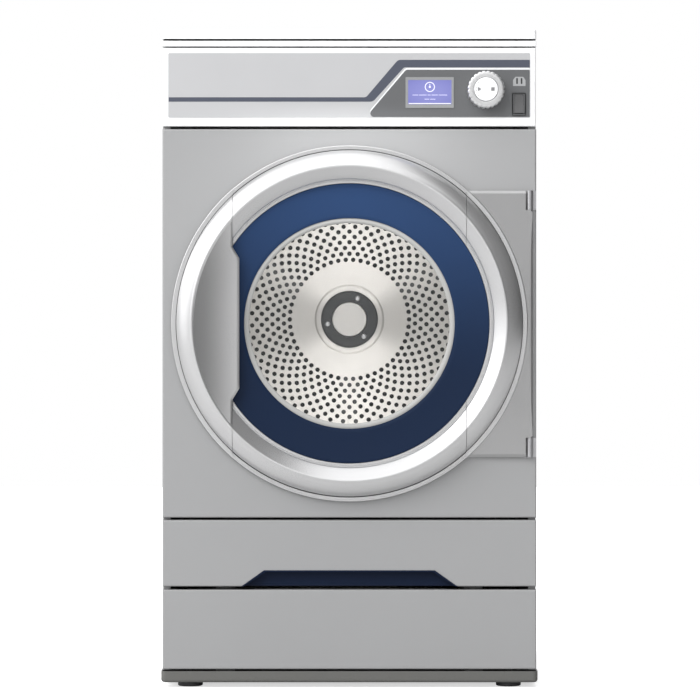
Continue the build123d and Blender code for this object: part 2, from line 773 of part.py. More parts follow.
with BuildPart() as fan_housing:
    with BuildSketch(along_y(0, fan_front_y, 0)):
        with Locations((fan_x, -fan_z)):
            Circle(volute_radius)
        outlet_low = fan_z - volute_radius
        with Locations(((fan_x + duct_left) / 2, -(outlet_low + duct_high) / 2)):
            Rectangle(duct_left - fan_x, duct_high - outlet_low)
    extrude(amount=fan_rear_y - fan_front_y)
    outlet_face = fan_housing.faces().filter_by(Axis.X).sort_by(Axis.X)[-1]
    offset(amount=-1.5, openings=outlet_face)
    with BuildSketch(along_y(fan_x, fan_front_y - 1, fan_z)):
        Circle(52)
    extrude(amount=5, mode=Mode.SUBTRACT)
    with BuildSketch(along_y(fan_x, fan_rear_y - 5, fan_z)):
        Circle(9)
    extrude(amount=10, mode=Mode.SUBTRACT)
    for y in (fan_front_y + 15, fan_rear_y - 15):
        leg_top = fan_z - volute_radius + 1
        with Locations((fan_x, y, (base_floor + leg_top) / 2)):
            Box(60, 4, leg_top - base_floor)

with BuildPart() as fan_motor:
    with BuildSketch(along_y(fan_x, fan_rear_y, fan_z)):
        Circle(42)
    extrude(amount=94)
    fillet(fan_motor.faces().sort_by(Axis.Y)[-1].edges(), radius=6)
    with BuildSketch(along_y(fan_x, fan_rear_y + 6, fan_z)):
        Circle(35)
    extrude(amount=82, mode=Mode.SUBTRACT)
    with BuildSketch(along_y(fan_x, fan_rear_y - 1, fan_z)):
        Circle(6.05)
    extrude(amount=96, mode=Mode.SUBTRACT)

blade_count = 18
impeller_radius = 82.0
with BuildPart() as fan_impeller:
    impeller_points = [
        (0, 97),
        (6, 97),
        (6, 100),
        (16, 100),
        (16, 154),
        (impeller_radius, 158),
        (impeller_radius, 160),
        (6, 160),
        (6, 182),
        (34.4, 182),
        (34.4, 254),
        (6, 254),
        (6, 268),
        (0, 268),
    ]
    impeller_points = [(fan_x + radius, y) for radius, y in impeller_points]
    revolve(turned_outline(impeller_points, fan_z), axis=fan_axis)
    with BuildSketch(along_y(fan_x, 100, fan_z)):
        with PolarLocations(69, blade_count):
            Rectangle(26, 2, rotation=35)
    extrude(amount=58.5)
    with BuildSketch(along_y(fan_x, 98, fan_z)):
        Circle(impeller_radius)
        Circle(58, mode=Mode.SUBTRACT)
    extrude(amount=2.5)

duct_front_y, duct_rear_y = 92.0, 292.0
with BuildPart() as exhaust_duct:
    duct_middle_y = (duct_front_y + duct_rear_y) / 2
    with Locations((exhaust_x, duct_middle_y, exhaust_z)):
        Box(duct_right - duct_left, duct_rear_y - duct_front_y, duct_high - duct_low)
    with BuildSketch(along_y(exhaust_x, duct_rear_y - 2, exhaust_z)):
        Circle(spigot_radius)
    extrude(amount=spigot_end_y - duct_rear_y + 2)
    with Locations((exhaust_x, duct_middle_y, exhaust_z)):
        inner_size = duct_right - duct_left - 2 * sheet
        Box(inner_size, duct_rear_y - duct_front_y - 2 * sheet, inner_size, mode=Mode.SUBTRACT)
    with BuildSketch(along_y(exhaust_x, duct_rear_y - 5, exhaust_z)):
        Circle(spigot_radius - sheet)
    extrude(amount=spigot_end_y - duct_rear_y + 10, mode=Mode.SUBTRACT)
    window_low = fan_z - volute_radius + 1.5
    window_high = duct_high - 1.5
    window_y = (fan_front_y + fan_rear_y) / 2
    with Locations((duct_left, window_y, (window_low + window_high) / 2)):
        Box(8, fan_rear_y - fan_front_y - 8, window_high - window_low, mode=Mode.SUBTRACT)
    for y in (duct_front_y + 20, duct_rear_y - 20):
        with Locations((exhaust_x, y, (base_floor + duct_low) / 2)):
            Box(80, 4, duct_low - base_floor)

with BuildPart() as cable_gland:
    gland_bore = 6.0
    with BuildSketch(along_y(gland_x, rear_y - 14, gland_z)):
        Circle(gland_thread)
    extrude(amount=20)
    with BuildSketch(along_y(gland_x, rear_y, gland_z)):
        RegularPolygon(14, 6, major_radius=False)
    extrude(amount=9)
    with BuildSketch(along_y(gland_x, rear_y + 9, gland_z)):
        Circle(12)
    extrude(amount=9, taper=12)
    with BuildSketch(along_y(gland_x, side_rear_y - 7, gland_z)):
        RegularPolygon(14, 6, major_radius=False)
    extrude(amount=7)
    with BuildSketch(along_y(gland_x, rear_y - 20, gland_z)):
        Circle(gland_bore)
    extrude(amount=50, mode=Mode.SUBTRACT)

# ---------------------------------------------------------------- lint drawer
tray_half = 225.0
tray_front_y, tray_rear_y = -288.0, 60.0
tray_low, tray_high = 178.0, 250.0
recess_top_half, recess_low_half = 136.0, 172.0
recess_high = 187.1
grip_wall = 2.4


def recess_outline(margin, y):
    """Trapezoid of the grip recess in the drawer front's lower edge, grown by a margin."""
    low = drawer_bottom - 4
    slope = (recess_low_half - recess_top_half) / (recess_high - drawer_bottom)
    widening = slope * 4
    with BuildSketch(along_y(0, y, 0)) as outline:
        with BuildLine():
            Polyline(
                (-recess_low_half - widening - margin, -low),
                (-recess_top_half - margin, -recess_high - margin),
                (recess_top_half + margin, -recess_high - margin),
                (recess_low_half + widening + margin, -low),
                close=True,
            )
        make_face()
    return outline.sketch


with BuildPart() as lint_drawer:
    add(front_pan(drawer_bottom, drawer_top, drawer_pan_depth))
    tray_middle_y = (tray_front_y + tray_rear_y) / 2
    tray_length = tray_rear_y - tray_front_y
    with Locations((0, tray_middle_y, (tray_low + tray_high) / 2)):
        Box(2 * tray_half, tray_length, tray_high - tray_low)
    with Locations((0, tray_middle_y, (tray_low + tray_high) / 2 + 2)):
        Box(2 * tray_half - 4, tray_length - 4, tray_high - tray_low, mode=Mode.SUBTRACT)
    with Locations((0, tray_middle_y, tray_low)):
        Box(2 * tray_half - 28, tray_length - 28, 10, mode=Mode.SUBTRACT)
    for x in (-205, 205):
        with Locations((x, (fascia_inner + tray_front_y) / 2, 222)):
            Box(24, tray_front_y - fascia_inner + 0.6, 44)
    extrude(recess_outline(0.1, front_y - 5), amount=23, mode=Mode.SUBTRACT)

with BuildPart() as drawer_grip:
    extrude(recess_outline(0, front_y - 1), amount=19)
    extrude(recess_outline(-grip_wall, front_y - 2), amount=17, mode=Mode.SUBTRACT)
    with Locations((0, front_y, drawer_bottom - 10)):
        Box(500, 100, 20, mode=Mode.SUBTRACT)

screen_half = tray_half - 3
with BuildPart() as lint_screen:
    with Locations((0, tray_middle_y, tray_low + 4)):
        Box(2 * screen_half, tray_length - 6, 4)
    with Locations((0, tray_middle_y, tray_low + 6.5)):
        with GridLocations(108, 110, 4, 3):
            Box(98, 100, 7.6, mode=Mode.SUBTRACT)

housing_half = 240.0
housing_low, housing_high = 168.0, 262.0
housing_rear_y = 75.0
with BuildPart() as drawer_housing:
    housing_front_y = side_front_y + 1
    housing_middle_y = (housing_front_y + housing_rear_y) / 2
    with Locations((0, housing_middle_y, (housing_low + housing_high) / 2)):
        Box(2 * housing_half, housing_rear_y - housing_front_y, housing_high - housing_low)
    offset(amount=-sheet, openings=drawer_housing.faces().sort_by(Axis.Y)[0])
    with Locations((0, housing_front_y + 50, housing_high)):
        Box(400, 70, 10, mode=Mode.SUBTRACT)
    with BuildSketch(along_y(fan_x, housing_rear_y - 5, 214)):
        Circle(44)
    extrude(amount=10, mode=Mode.SUBTRACT)
    for x in (-218, 218):
        rail_low = housing_low + sheet
        with Locations((x, housing_middle_y, (rail_low + tray_low - 0.3) / 2)):
            Box(8, housing_rear_y - housing_front_y - 4, tray_low - 0.3 - rail_low)
    # Sleeve that leads the air from the drawer into the fan
    with BuildSketch(along_y(fan_x, housing_rear_y, 209)):
        Circle(49)
        Circle(47.8, mode=Mode.SUBTRACT)
    extrude(amount=fan_front_y - housing_rear_y)
    # Brackets down to the base frame
    for x in (-200, 200):
        for y in (-240, 20):
            with Locations((x, y, (base_floor + housing_low) / 2)):
                Box(30, 3, housing_low - base_floor)

# ---------------------------------------------------------------- door
flange_radius = 283.0
flange_foot = 276.0
flange_front_y, flange_rear_y = front_y - 12.0, front_y - 6.0
disc_front_y = front_y - 8.0
joint_x = 185.0
joint_gap = 0.4
bevel_floor_y = front_y - 21.5
trim_radius = 221.8
window_radius = 167.0
glass_radius = 175.0
gasket_outer = 178.0

with BuildPart() as door_back:
    back_points = [
        (gasket_outer, disc_front_y),
        (flange_foot, disc_front_y),
        (flange_foot, flange_front_y),
        (flange_radius - 1, flange_front_y),
        (flange_radius, flange_front_y + 1),
        (flange_radius, flange_rear_y),
        (gasket_outer, flange_rear_y),
    ]
    revolve(turned_outline(back_points, door_z), axis=door_axis)


def ring_outline(with_skirt):
    """Section of the moulded door ring: rounded outer bevel, crest, inner bevel and foot."""
    foot_y = disc_front_y
    with BuildSketch(Plane.XY.offset(door_z)) as outline:
        with BuildLine():
            if with_skirt:
                Polyline(
                    (273, foot_y),
                    (273, flange_front_y - 0.1),
                    (flange_radius, flange_front_y - 0.1),
                    (flange_radius, flange_front_y - 1.9),
                    (275, flange_front_y - 3.4),
                )
                ThreePointArc((275, flange_front_y - 3.4), (266.3, front_y - 31.6), (251.5, front_y - 44.3))
            else:
                Polyline((273, foot_y), (273, front_y - 14))
                ThreePointArc((273, front_y - 14), (265.8, front_y - 31.2), (251.5, front_y - 44.3))
            ThreePointArc((251.5, front_y - 44.3), (248, door_crest_y), (245, front_y - 43.6))
            Polyline(
                (245, front_y - 43.6),
                (228, bevel_floor_y - 0.5),
                (228, bevel_floor_y),
                (222.3, bevel_floor_y),
                (222.3, foot_y),
                (224.8, foot_y),
                (224.8, bevel_floor_y + 2.4),
                (229.3, bevel_floor_y + 2.4),
                (247.5, front_y - 41),
                (250, front_y - 41),
                (270, front_y - 15),
                (270, foot_y),
                (273, foot_y),
            )
        make_face()
    return outline.sketch


ring_middle_y = front_y - 20
ring_reach = 2 * flange_radius + 20

with BuildPart() as hinge_side_ring:
    revolve(ring_outline(True), axis=door_axis)
    right_of_joint = (Align.MIN, Align.CENTER, Align.CENTER)
    with Locations((joint_x + joint_gap / 2, ring_middle_y, door_z)):
        Box(200, 80, ring_reach, align=right_of_joint, mode=Mode.INTERSECT)

with BuildPart() as door_ring:
    revolve(ring_outline(False), axis=door_axis)
    with Locations((0, ring_middle_y, door_z)):
        Box(2 * joint_x - joint_gap, 80, ring_reach, mode=Mode.INTERSECT)
    add(hinge_side_ring.part)

grip_edge_x = 174.0
grip_straight, grip_corner = 103.0, 121.0
grip_front_y = front_y - 42.5
grip_thickness = 3.0
grip_radius = 245.5
grip_top = sqrt(grip_radius**2 - joint_x**2)

with BuildPart() as door_handle:
    revolve(ring_outline(True), axis=door_axis)
    left_of_joint = (Align.MAX, Align.CENTER, Align.CENTER)
    with Locations((-joint_x - joint_gap / 2, ring_middle_y, door_z)):
        Box(200, 80, ring_reach, align=left_of_joint, mode=Mode.INTERSECT)
    # Grip plate that closes the ring's inside on the handle side
    with BuildSketch(along_y(0, grip_front_y, door_z)):
        with BuildLine():
            Polyline(
                (-joint_x, grip_top),
                (-joint_x, grip_corner),
                (-grip_edge_x, grip_straight),
                (-grip_edge_x, -grip_straight),
                (-joint_x, -grip_corner),
                (-joint_x, -grip_top),
            )
            ThreePointArc((-joint_x, -grip_top), (-grip_radius, 0), (-joint_x, grip_top))
        make_face()
    extrude(amount=grip_thickness)

with BuildPart() as window_trim:
    trim_points = [
        (trim_radius, disc_front_y),
        (trim_radius, front_y - 19),
        (window_radius, front_y - 14),
        (window_radius, front_y - 11.6),
        (trim_radius - 2.6, front_y - 16.4),
        (trim_radius - 2.6, disc_front_y),
    ]
    revolve(turned_outline(trim_points, door_z), axis=door_axis)

glass_front_y, glass_rear_y = front_y - 9.4, front_y - 5.4
with BuildPart() as door_glass:
    with BuildSketch(along_y(0, glass_front_y, door_z)):
        Circle(glass_radius)
    extrude(amount=glass_rear_y - glass_front_y)
    chamfer(door_glass.edges().filter_by(GeomType.CIRCLE), length=0.6)

with BuildPart() as window_gasket:
    gasket_points = [
        (159, glass_front_y),
        (161, front_y - 11.4),
        (gasket_outer, front_y - 11.4),
        (gasket_outer, front_y - 3.6),
        (161, front_y - 3.6),
        (159, glass_rear_y),
        (glass_radius, glass_rear_y),
        (glass_radius, glass_front_y),
    ]
    revolve(turned_outline(gasket_points, door_z), axis=door_axis)

# ---------------------------------------------------------------- door hinge
hinge_x, hinge_y = 287.0, front_y - 8.0
plate_low_z, plate_high_z = 367.5, 791.0
plate_edge_x = 291.0
plate_rear_y, plate_front_y = front_y - 4.0, front_y - 11.4
knuckle_height = 30.5
knuckle_radius = 5.0
pin_radius = 2.5
pin_depth = 40.0
knuckle_places = [plate_low_z, plate_high_z - knuckle_height]

with BuildPart() as hinge_plate:
    # Visible plate outside the door's flange
    with BuildSketch(along_y(0, plate_front_y, 0)):
        with Locations(((150 + plate_edge_x) / 2, -(plate_low_z + plate_high_z) / 2)):
            Rectangle(plate_edge_x - 150, plate_high_z - plate_low_z)
        with Locations((0, -door_z)):
            Circle(flange_radius + 0.3, mode=Mode.SUBTRACT)
    extrude(amount=plate_rear_y - plate_front_y)
    outer_edge = hinge_plate.edges().filter_by(Axis.Z).group_by(Axis.X)[-1]
    fillet(outer_edge, radius=3.6)
    # Strap behind the door's back plate
    with BuildSketch(along_y(0, flange_rear_y, 0)):
        with Locations(((150 + 280) / 2, -(plate_low_z + plate_high_z) / 2)):
            Rectangle(130, plate_high_z - plate_low_z)
        with Locations((0, -door_z)):
            Circle(255, mode=Mode.SUBTRACT)
    extrude(amount=2.4)
    for low in knuckle_places:
        with Locations((hinge_x, hinge_y, low + knuckle_height / 2)):
            Box(14, 30, knuckle_height + 1, mode=Mode.SUBTRACT)
    for low, direction in zip(knuckle_places, (1, -1)):
        middle = low + knuckle_height / 2 + direction * (knuckle_height + pin_depth) / 2
        with Locations((hinge_x, hinge_y, middle)):
            Cylinder(pin_radius + 0.05, pin_depth + 1, mode=Mode.SUBTRACT)

with BuildPart() as hinge_brackets:
    for low in knuckle_places:
        middle = low + knuckle_height / 2
        with Locations((hinge_x, hinge_y, middle)):
            Cylinder(knuckle_radius, knuckle_height)
        with Locations((hinge_x + 4.5, front_y - 2, middle)):
            Box(11, 4, knuckle_height)
        with Locations((hinge_x, hinge_y, middle)):
            Cylinder(pin_radius, knuckle_height + 1, mode=Mode.SUBTRACT)

with BuildPart() as hinge_pins:
    for low, direction in zip(knuckle_places, (1, -1)):
        length = knuckle_height + pin_depth - 2
        middle = low + knuckle_height / 2 + direction * (pin_depth - 2) / 2
        with Locations((hinge_x, hinge_y, middle)):
            Cylinder(pin_radius, length)

# ---------------------------------------------------------------- export
pieces = {
    "base_frame": base_frame,
    "levelling_feet": levelling_feet,
    "side_panel_left": side_panel_left,
    "side_panel_right": side_panel_right,
    "rear_panel": rear_panel,
    "panel_screws": panel_screws,
    "top_panel": top_panel,
    "top_trim": top_trim,
    "fascia_panel": fascia_panel,
    "control_overlay": control_overlay,
    "control_plate": control_plate,
    "display_screen": display_screen,
    "control_board": control_board,
    "knob": knob,
    "start_button": start_button,
    "rocker_housing": rocker_housing,
    "rocker": rocker,
    "front_panel": front_panel,
    "service_panel": service_panel,
    "loading_collar": loading_collar,
    "door_seal": door_seal,
    "door_catch": door_catch,
    "front_bulkhead": front_bulkhead,
    "roller_left": roller_left,
    "roller_right": roller_right,
    "rear_bulkhead": rear_bulkhead,
    "drum_seals": drum_seals,
    "heater_housing": heater_housing,
    "heater_elements": heater_elements,
    "drum_bearings": drum_bearings,
    "drum_shell": drum_shell,
    "drum_back": drum_back,
    "hub_ring": hub_ring,
    "hub_screws": hub_screws,
    "drum_shaft": drum_shaft,
    "drum_lifters": drum_lifters,
    "drum_motor": drum_motor,
    "motor_rotor": motor_rotor,
    "drive_belt": drive_belt,
    "tensioner_arm": tensioner_arm,
    "idler_pulley": idler_pulley,
    "tension_spring": tension_spring,
    "fan_housing": fan_housing,
    "fan_motor": fan_motor,
    "fan_impeller": fan_impeller,
    "exhaust_duct": exhaust_duct,
    "cable_gland": cable_gland,
    "lint_drawer": lint_drawer,
    "drawer_grip": drawer_grip,
    "lint_screen": lint_screen,
    "drawer_housing": drawer_housing,
    "door_back": door_back,
    "door_ring": door_ring,
    "door_handle": door_handle,
    "window_trim": window_trim,
    "door_glass": door_glass,
    "window_gasket": window_gasket,
    "hinge_plate": hinge_plate,
    "hinge_brackets": hinge_brackets,
    "hinge_pins": hinge_pins,
}

os.makedirs("parts", exist_ok=True)
for name, piece in pieces.items():
    piece.part.label = name
    export_step(piece.part, f"parts/{name}.step")
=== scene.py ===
import json
import math

import bmesh
import bpy
from mathutils import Matrix, Vector


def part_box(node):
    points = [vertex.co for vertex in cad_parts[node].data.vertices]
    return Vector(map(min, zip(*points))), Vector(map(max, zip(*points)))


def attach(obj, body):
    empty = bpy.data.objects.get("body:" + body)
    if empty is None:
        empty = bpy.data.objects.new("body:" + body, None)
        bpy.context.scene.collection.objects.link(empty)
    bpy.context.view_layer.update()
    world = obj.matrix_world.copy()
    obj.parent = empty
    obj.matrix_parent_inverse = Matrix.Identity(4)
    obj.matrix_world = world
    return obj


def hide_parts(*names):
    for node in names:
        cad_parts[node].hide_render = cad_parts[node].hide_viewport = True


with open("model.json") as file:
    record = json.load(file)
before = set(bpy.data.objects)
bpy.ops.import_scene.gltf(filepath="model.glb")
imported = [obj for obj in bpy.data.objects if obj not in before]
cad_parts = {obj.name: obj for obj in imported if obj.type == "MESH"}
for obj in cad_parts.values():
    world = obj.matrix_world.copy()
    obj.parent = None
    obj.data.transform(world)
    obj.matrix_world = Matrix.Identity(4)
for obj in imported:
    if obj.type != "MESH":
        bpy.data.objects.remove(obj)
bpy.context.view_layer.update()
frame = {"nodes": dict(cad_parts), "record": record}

mm = 0.001
nodesByName = frame["nodes"]


def boxMiddle(name):
    # x and z of the middle of a CAD node
    low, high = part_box(name)
    return (low[0] + high[0]) / 2, (low[2] + high[2]) / 2


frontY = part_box("front_panel")[0][1]
doorX, doorZ = boxMiddle("door_back")
drumX, drumZ = boxMiddle("drum_back")


# camera and lights

studio = {
    "cameraDistance": 5.0,      # from the front panel's face
    "cameraHeight": 0.5378,
    "cameraSide": 0.001,
    "viewWidth": 1.114,         # width seen at the front panel's face
    "sensor": 36.0,
    "farthest": 100,
    "floorSize": 14.0,
    "floorColour": (0.93, 0.93, 0.93, 1),
    "floorGlow": 0.62,          # added for the eye only, so that the floor reads white
    "floorBounce": 0.52,        # shade of the floor in reflections
    "drumLampOffset": 0.165,    # above and below the drum's axis
}
lamps = [                       # name, place, target, width, height, power, seen in metal
    ("keySoftbox", (-1.6, -3.2, 2.6), (0, -0.3, 0.6), 2.4, 2.2, 72, False),
    ("underFascia", (0, frontY - 0.13, 0.93), (0, frontY - 0.12, 0), 0.26, 0.05, 0.5, False),
    ("frontFill", (0.3, -5.2, 1.0), (0, 0, 0.55), 1.4, 1.4, 44, False),
]
for lampName, side in (("drumLampHigh", 1), ("drumLampLow", -1)):
    lamps.append((lampName, (0, -0.19, drumZ + side * studio["drumLampOffset"]), (0, 0.25, drumZ + side * 0.03),
                  0.2, 0.05, 0.37, True))


def linkObject(name, data):
    thing = bpy.data.objects.new(name, data)
    bpy.context.scene.collection.objects.link(thing)
    return thing


def aimAt(thing, target):
    thing.rotation_euler = (Vector(target) - thing.location).to_track_quat("-Z", "Y").to_euler()


def addCamera():
    data = bpy.data.cameras.new("studioCamera")
    data.sensor_width = studio["sensor"]
    data.lens = studio["sensor"] * studio["cameraDistance"] / studio["viewWidth"]
    data.clip_end = studio["farthest"]
    camera = linkObject("studioCamera", data)
    camera.location = (studio["cameraSide"], frontY - studio["cameraDistance"], studio["cameraHeight"])
    aimAt(camera, (studio["cameraSide"], 0, studio["cameraHeight"]))
    bpy.context.scene.camera = camera


def addLamp(name, place, target, width, height, power, mirrored):
    data = bpy.data.lights.new(name, "AREA")
    data.shape = "RECTANGLE"
    data.size, data.size_y = width, height
    data.energy = power
    light = linkObject(name, data)
    light.location = place
    light.visible_glossy = mirrored
    light.visible_camera = False
    aimAt(light, target)


addCamera()
for lamp in lamps:
    addLamp(*lamp)


# nodes as sums

class Wire:
    # a socket that can stand in a sum with numbers and other sockets
    def __init__(self, nodes, socket):
        self.nodes, self.socket = nodes, socket

    def __add__(self, other):
        return self.nodes.maths("ADD", self, other)

    def __sub__(self, other):
        return self.nodes.maths("SUBTRACT", self, other)

    def __rsub__(self, other):
        return self.nodes.maths("SUBTRACT", other, self)

    def __mul__(self, other):
        return self.nodes.maths("MULTIPLY", self, other)

    def __truediv__(self, other):
        return self.nodes.maths("DIVIDE", self, other)

    __radd__ = __add__
    __rmul__ = __mul__


class NodeBench:
    # builds the nodes of one tree, shader or geometry
    def __init__(self, tree):
        self.tree = tree

    def feed(self, socket, value):
        if isinstance(value, Wire):
            self.tree.links.new(value.socket, socket)
        else:
            socket.default_value = value

    def node(self, kind, sockets=None, out=0, **settings):
        made = self.tree.nodes.new(kind)
        for key, value in settings.items():
            setattr(made, key, value)
        for key, value in (sockets or {}).items():
            self.feed(made.inputs[key], value)
        if out is None:
            return made
        if isinstance(out, tuple):
            return [Wire(self, made.outputs[key]) for key in out]
        return Wire(self, made.outputs[out])

    def maths(self, operation, first, second=0.0):
        return self.node("ShaderNodeMath", {0: first, 1: second}, operation=operation)

    def mixColour(self, factor, first, second):
        return self.node("ShaderNodeMix", {0: factor, 6: first, 7: second}, out=2, data_type="RGBA")

    def axes(self, vector):
        return self.node("ShaderNodeSeparateXYZ", {0: vector}, out=("X", "Y", "Z"))

    def stretch(self, vector, scale):
        return self.node("ShaderNodeVectorMath", {0: vector, 1: scale}, operation="MULTIPLY")

    def ease(self, value, low, high, start=0.0, end=1.0):
        sockets = {"Value": value, "From Min": low, "From Max": high, "To Min": start, "To Max": end}
        return self.node("ShaderNodeMapRange", sockets, interpolation_type="SMOOTHSTEP")

    def noise(self, vector, scale, detail=2.0, rough=0.5):
        sockets = {"Vector": vector, "Scale": scale, "Detail": detail, "Roughness": rough}
        return self.node("ShaderNodeTexNoise", sockets)


def grey(value):
    return (value, value, value, 1)


def shadesOf(colour, lower, upper, lift=0.0):
    # a darker and a lighter neighbour of a colour
    return tuple(c * lower for c in colour) + (1,), tuple(min(c * upper + lift, 1.0) for c in colour) + (1,)


def startFinish(name):
    material = bpy.data.materials.new(name)
    material.use_nodes = True
    material.node_tree.nodes.clear()
    bench = NodeBench(material.node_tree)
    place = bench.node("ShaderNodeTexCoord", out="Object")
    return material, bench, place


def endFinish(material, bench, sockets):
    shader = bench.node("ShaderNodeBsdfPrincipled", sockets)
    bench.node("ShaderNodeOutputMaterial", {"Surface": shader}, out=None)
    return material


def bumpOf(bench, height, distance, strength=1.0):
    return bench.node("ShaderNodeBump", {"Height": height, "Distance": distance, "Strength": strength})


def enamel(name, colour, roughness, metallic, coat, peel):
    # sprayed sheet: orange peel, fine fleck and a slow cloud of shade
    material, bench, place = startFinish(name)
    fleck = bench.noise(place, 1400.0, 1.0)
    cloud = bench.noise(place, 2.6, 2.0)
    skin = bench.noise(place, 330.0, 2.0, 0.6)
    shade = cloud * 0.55 + fleck * 0.45
    return endFinish(material, bench, {
        "Base Color": bench.mixColour(shade, *shadesOf(colour, 0.93, 1.06)),
        "Roughness": roughness - 0.04 + cloud * 0.06 + fleck * 0.04,
        "Metallic": metallic,
        "Coat Weight": coat,
        "Coat Roughness": 0.12,
        "Normal": bumpOf(bench, skin, peel),
    })


def brushedSteel(name, colour, roughness, along, grain):
    # long scratches along one axis, with a little mottling
    material, bench, place = startFinish(name)
    squeeze = tuple(18.0 if axis == along else 1600.0 for axis in range(3))
    streak = bench.noise(bench.stretch(place, squeeze), 1.0, 3.0, 0.6)
    cloud = bench.noise(place, 9.0, 2.0)
    return endFinish(material, bench, {
        "Base Color": bench.mixColour(streak * 0.6 + cloud * 0.4, *shadesOf(colour, 0.86, 1.08)),
        "Roughness": roughness - 0.05 + streak * 0.10 + cloud * 0.04,
        "Metallic": 1.0,
        "Normal": bumpOf(bench, streak, grain),
    })


def aroundDrum(bench, place):
    # distance from the drum's axis, y, and height over the axis
    x, y, z = bench.axes(place)
    x, z = x - drumX, z - drumZ
    return bench.maths("SQRT", x * x + z * z), y, z


def turnedSteel(name, colour, roughness):
    # brushed round the drum's axis, with a soft bow-tie of painted highlight and painted shade put into its colour
    material, bench, place = startFinish(name)
    radius, y, z = aroundDrum(bench, place)
    ring = bench.node("ShaderNodeCombineXYZ", {"X": radius * 1300.0, "Y": y * 3.0})
    streak = bench.noise(ring, 1.0, 2.0, 0.7)
    # painted reflection: lighter above and below the drum's axis, darker at its sides
    upright = (z * z) / (radius * radius + 0.0004)
    paintedBowTie = bench.ease(upright, 0.0, 0.5)
    cloud = bench.noise(place, 14.0, 2.0)
    # painted light at the sides towards the outer rows
    paintedOuterLight = bench.ease(radius, 0.08, 0.15, 0.0, 0.45)
    shade = (paintedBowTie + paintedOuterLight - paintedBowTie * paintedOuterLight) * 0.62 + streak * 0.2 + cloud * 0.18
    return endFinish(material, bench, {
        "Base Color": bench.mixColour(shade, *shadesOf(colour, 0.50, 1.05)),
        "Roughness": roughness - 0.04 + streak * 0.10,
        "Metallic": 0.7,
        "Normal": bumpOf(bench, streak, 0.00003),
    })


def galvanisedSheet(name):
    # zinc spangle: flat crystals of slightly different shade
    material, bench, place = startFinish(name)
    crystal = bench.node("ShaderNodeTexVoronoi", {"Vector": place, "Scale": 95.0}, out="Color")
    tone = bench.node("ShaderNodeSeparateColor", {0: crystal}, out="Red")
    cloud = bench.noise(place, 5.0, 3.0)
    return endFinish(material, bench, {
        "Base Color": bench.mixColour(tone * 0.7 + cloud * 0.3, grey(0.40), grey(0.60)),
        "Roughness": 0.34 + tone * 0.14,
        "Metallic": 0.9,
        "Normal": bumpOf(bench, cloud, 0.0004, 0.4),
    })


def mouldedPlastic(name, colour, roughness, grainScale, grainDepth, shine=0.5):
    # eroded mould texture with faint handling wear
    material, bench, place = startFinish(name)
    grain = bench.noise(place, grainScale, 2.0, 0.65)
    wear = bench.noise(place, 22.0, 4.0, 0.6)
    return endFinish(material, bench, {
        "Base Color": bench.mixColour(wear * 0.7 + grain * 0.3, *shadesOf(colour, 0.88, 1.12, 0.002)),
        "Roughness": roughness - 0.05 + wear * 0.10 + grain * 0.04,
        "Specular IOR Level": shine,
        "Normal": bumpOf(bench, grain, grainDepth),
    })


def blueMoulding(name, shadedBlue, litBlue, lowZ, highZ):
    # satin moulding with painted shade, darker towards the bottom and lighter towards the top
    material, bench, place = startFinish(name)
    z = bench.axes(place)[2]
    grain = bench.noise(place, 1100.0, 2.0, 0.6)
    wear = bench.noise(place, 16.0, 4.0, 0.6)
    # painted shade below lowZ, painted light above highZ
    paintedShadeByHeight = bench.mixColour(bench.ease(z, lowZ, highZ), shadedBlue, litBlue)
    return endFinish(material, bench, {
        "Base Color": bench.mixColour(0.12 + wear * 0.1, paintedShadeByHeight, grey(0.02)),
        "Roughness": 0.34 + wear * 0.10 + grain * 0.04,
        "Specular IOR Level": 0.16,
        "Normal": bumpOf(bench, grain, 0.00001),
    })


def silverMoulding(name, darkest=0.68, lightest=0.80, paintedShadeSpan=None):
    # silver-sprayed moulding under clear lacquer; the last argument gives two x between which painted shade turns
    # into painted light
    material, bench, place = startFinish(name)
    fleck = bench.noise(place, 2200.0, 1.0)
    cloud = bench.noise(place, 6.0, 2.0)
    skin = bench.noise(place, 120.0, 2.0, 0.5)
    tone = fleck * 0.5 + cloud * 0.5
    if paintedShadeSpan:
        # painted shade at the lower x, painted light at the higher x
        x = bench.axes(place)[0]
        tone = tone * 0.2 + bench.ease(x, paintedShadeSpan[0], paintedShadeSpan[1]) * 0.8
    return endFinish(material, bench, {
        "Base Color": bench.mixColour(tone, grey(darkest), grey(lightest)),
        "Roughness": 0.24 + fleck * 0.07 + cloud * 0.03,
        "Metallic": 0.92,
        "Coat Weight": 0.35,
        "Coat Roughness": 0.06,
        "Normal": bumpOf(bench, skin, 0.00002),
    })


def clearGlass(name):
    # toughened pane: nearly clear, with a faint haze
    material, bench, place = startFinish(name)
    haze = bench.noise(place, 30.0, 3.0)
    return endFinish(material, bench, {
        "Base Color": (0.34, 0.36, 0.365, 1),
        "Roughness": 0.02 + haze * 0.03,
        "Alpha": 0.03 + haze * 0.03,
        "Specular IOR Level": 0.4,
    })


def litScreen(name, low, high):
    # backlit panel, a little brighter towards the middle, with a fine dot grid
    material, bench, place = startFinish(name)
    x, y, z = bench.axes(place)
    acrossMiddle = (x - (low[0] + high[0]) / 2) / (high[0] - low[0])
    upMiddle = (z - (low[2] + high[2]) / 2) / (high[2] - low[2])
    edge = acrossMiddle * acrossMiddle + upMiddle * upMiddle
    dots = bench.node("ShaderNodeTexChecker", {"Vector": place, "Scale": 3600.0}, out="Fac")
    glow = bench.mixColour(edge * 1.6 + dots * 0.08, (0.25, 0.26, 0.58, 1), (0.155, 0.165, 0.46, 1))
    return endFinish(material, bench, {
        "Base Color": (0.05, 0.05, 0.10, 1),
        "Emission Color": glow,
        "Emission Strength": 1.0,
        "Roughness": 0.30,
        "Specular IOR Level": 0.2,
    })


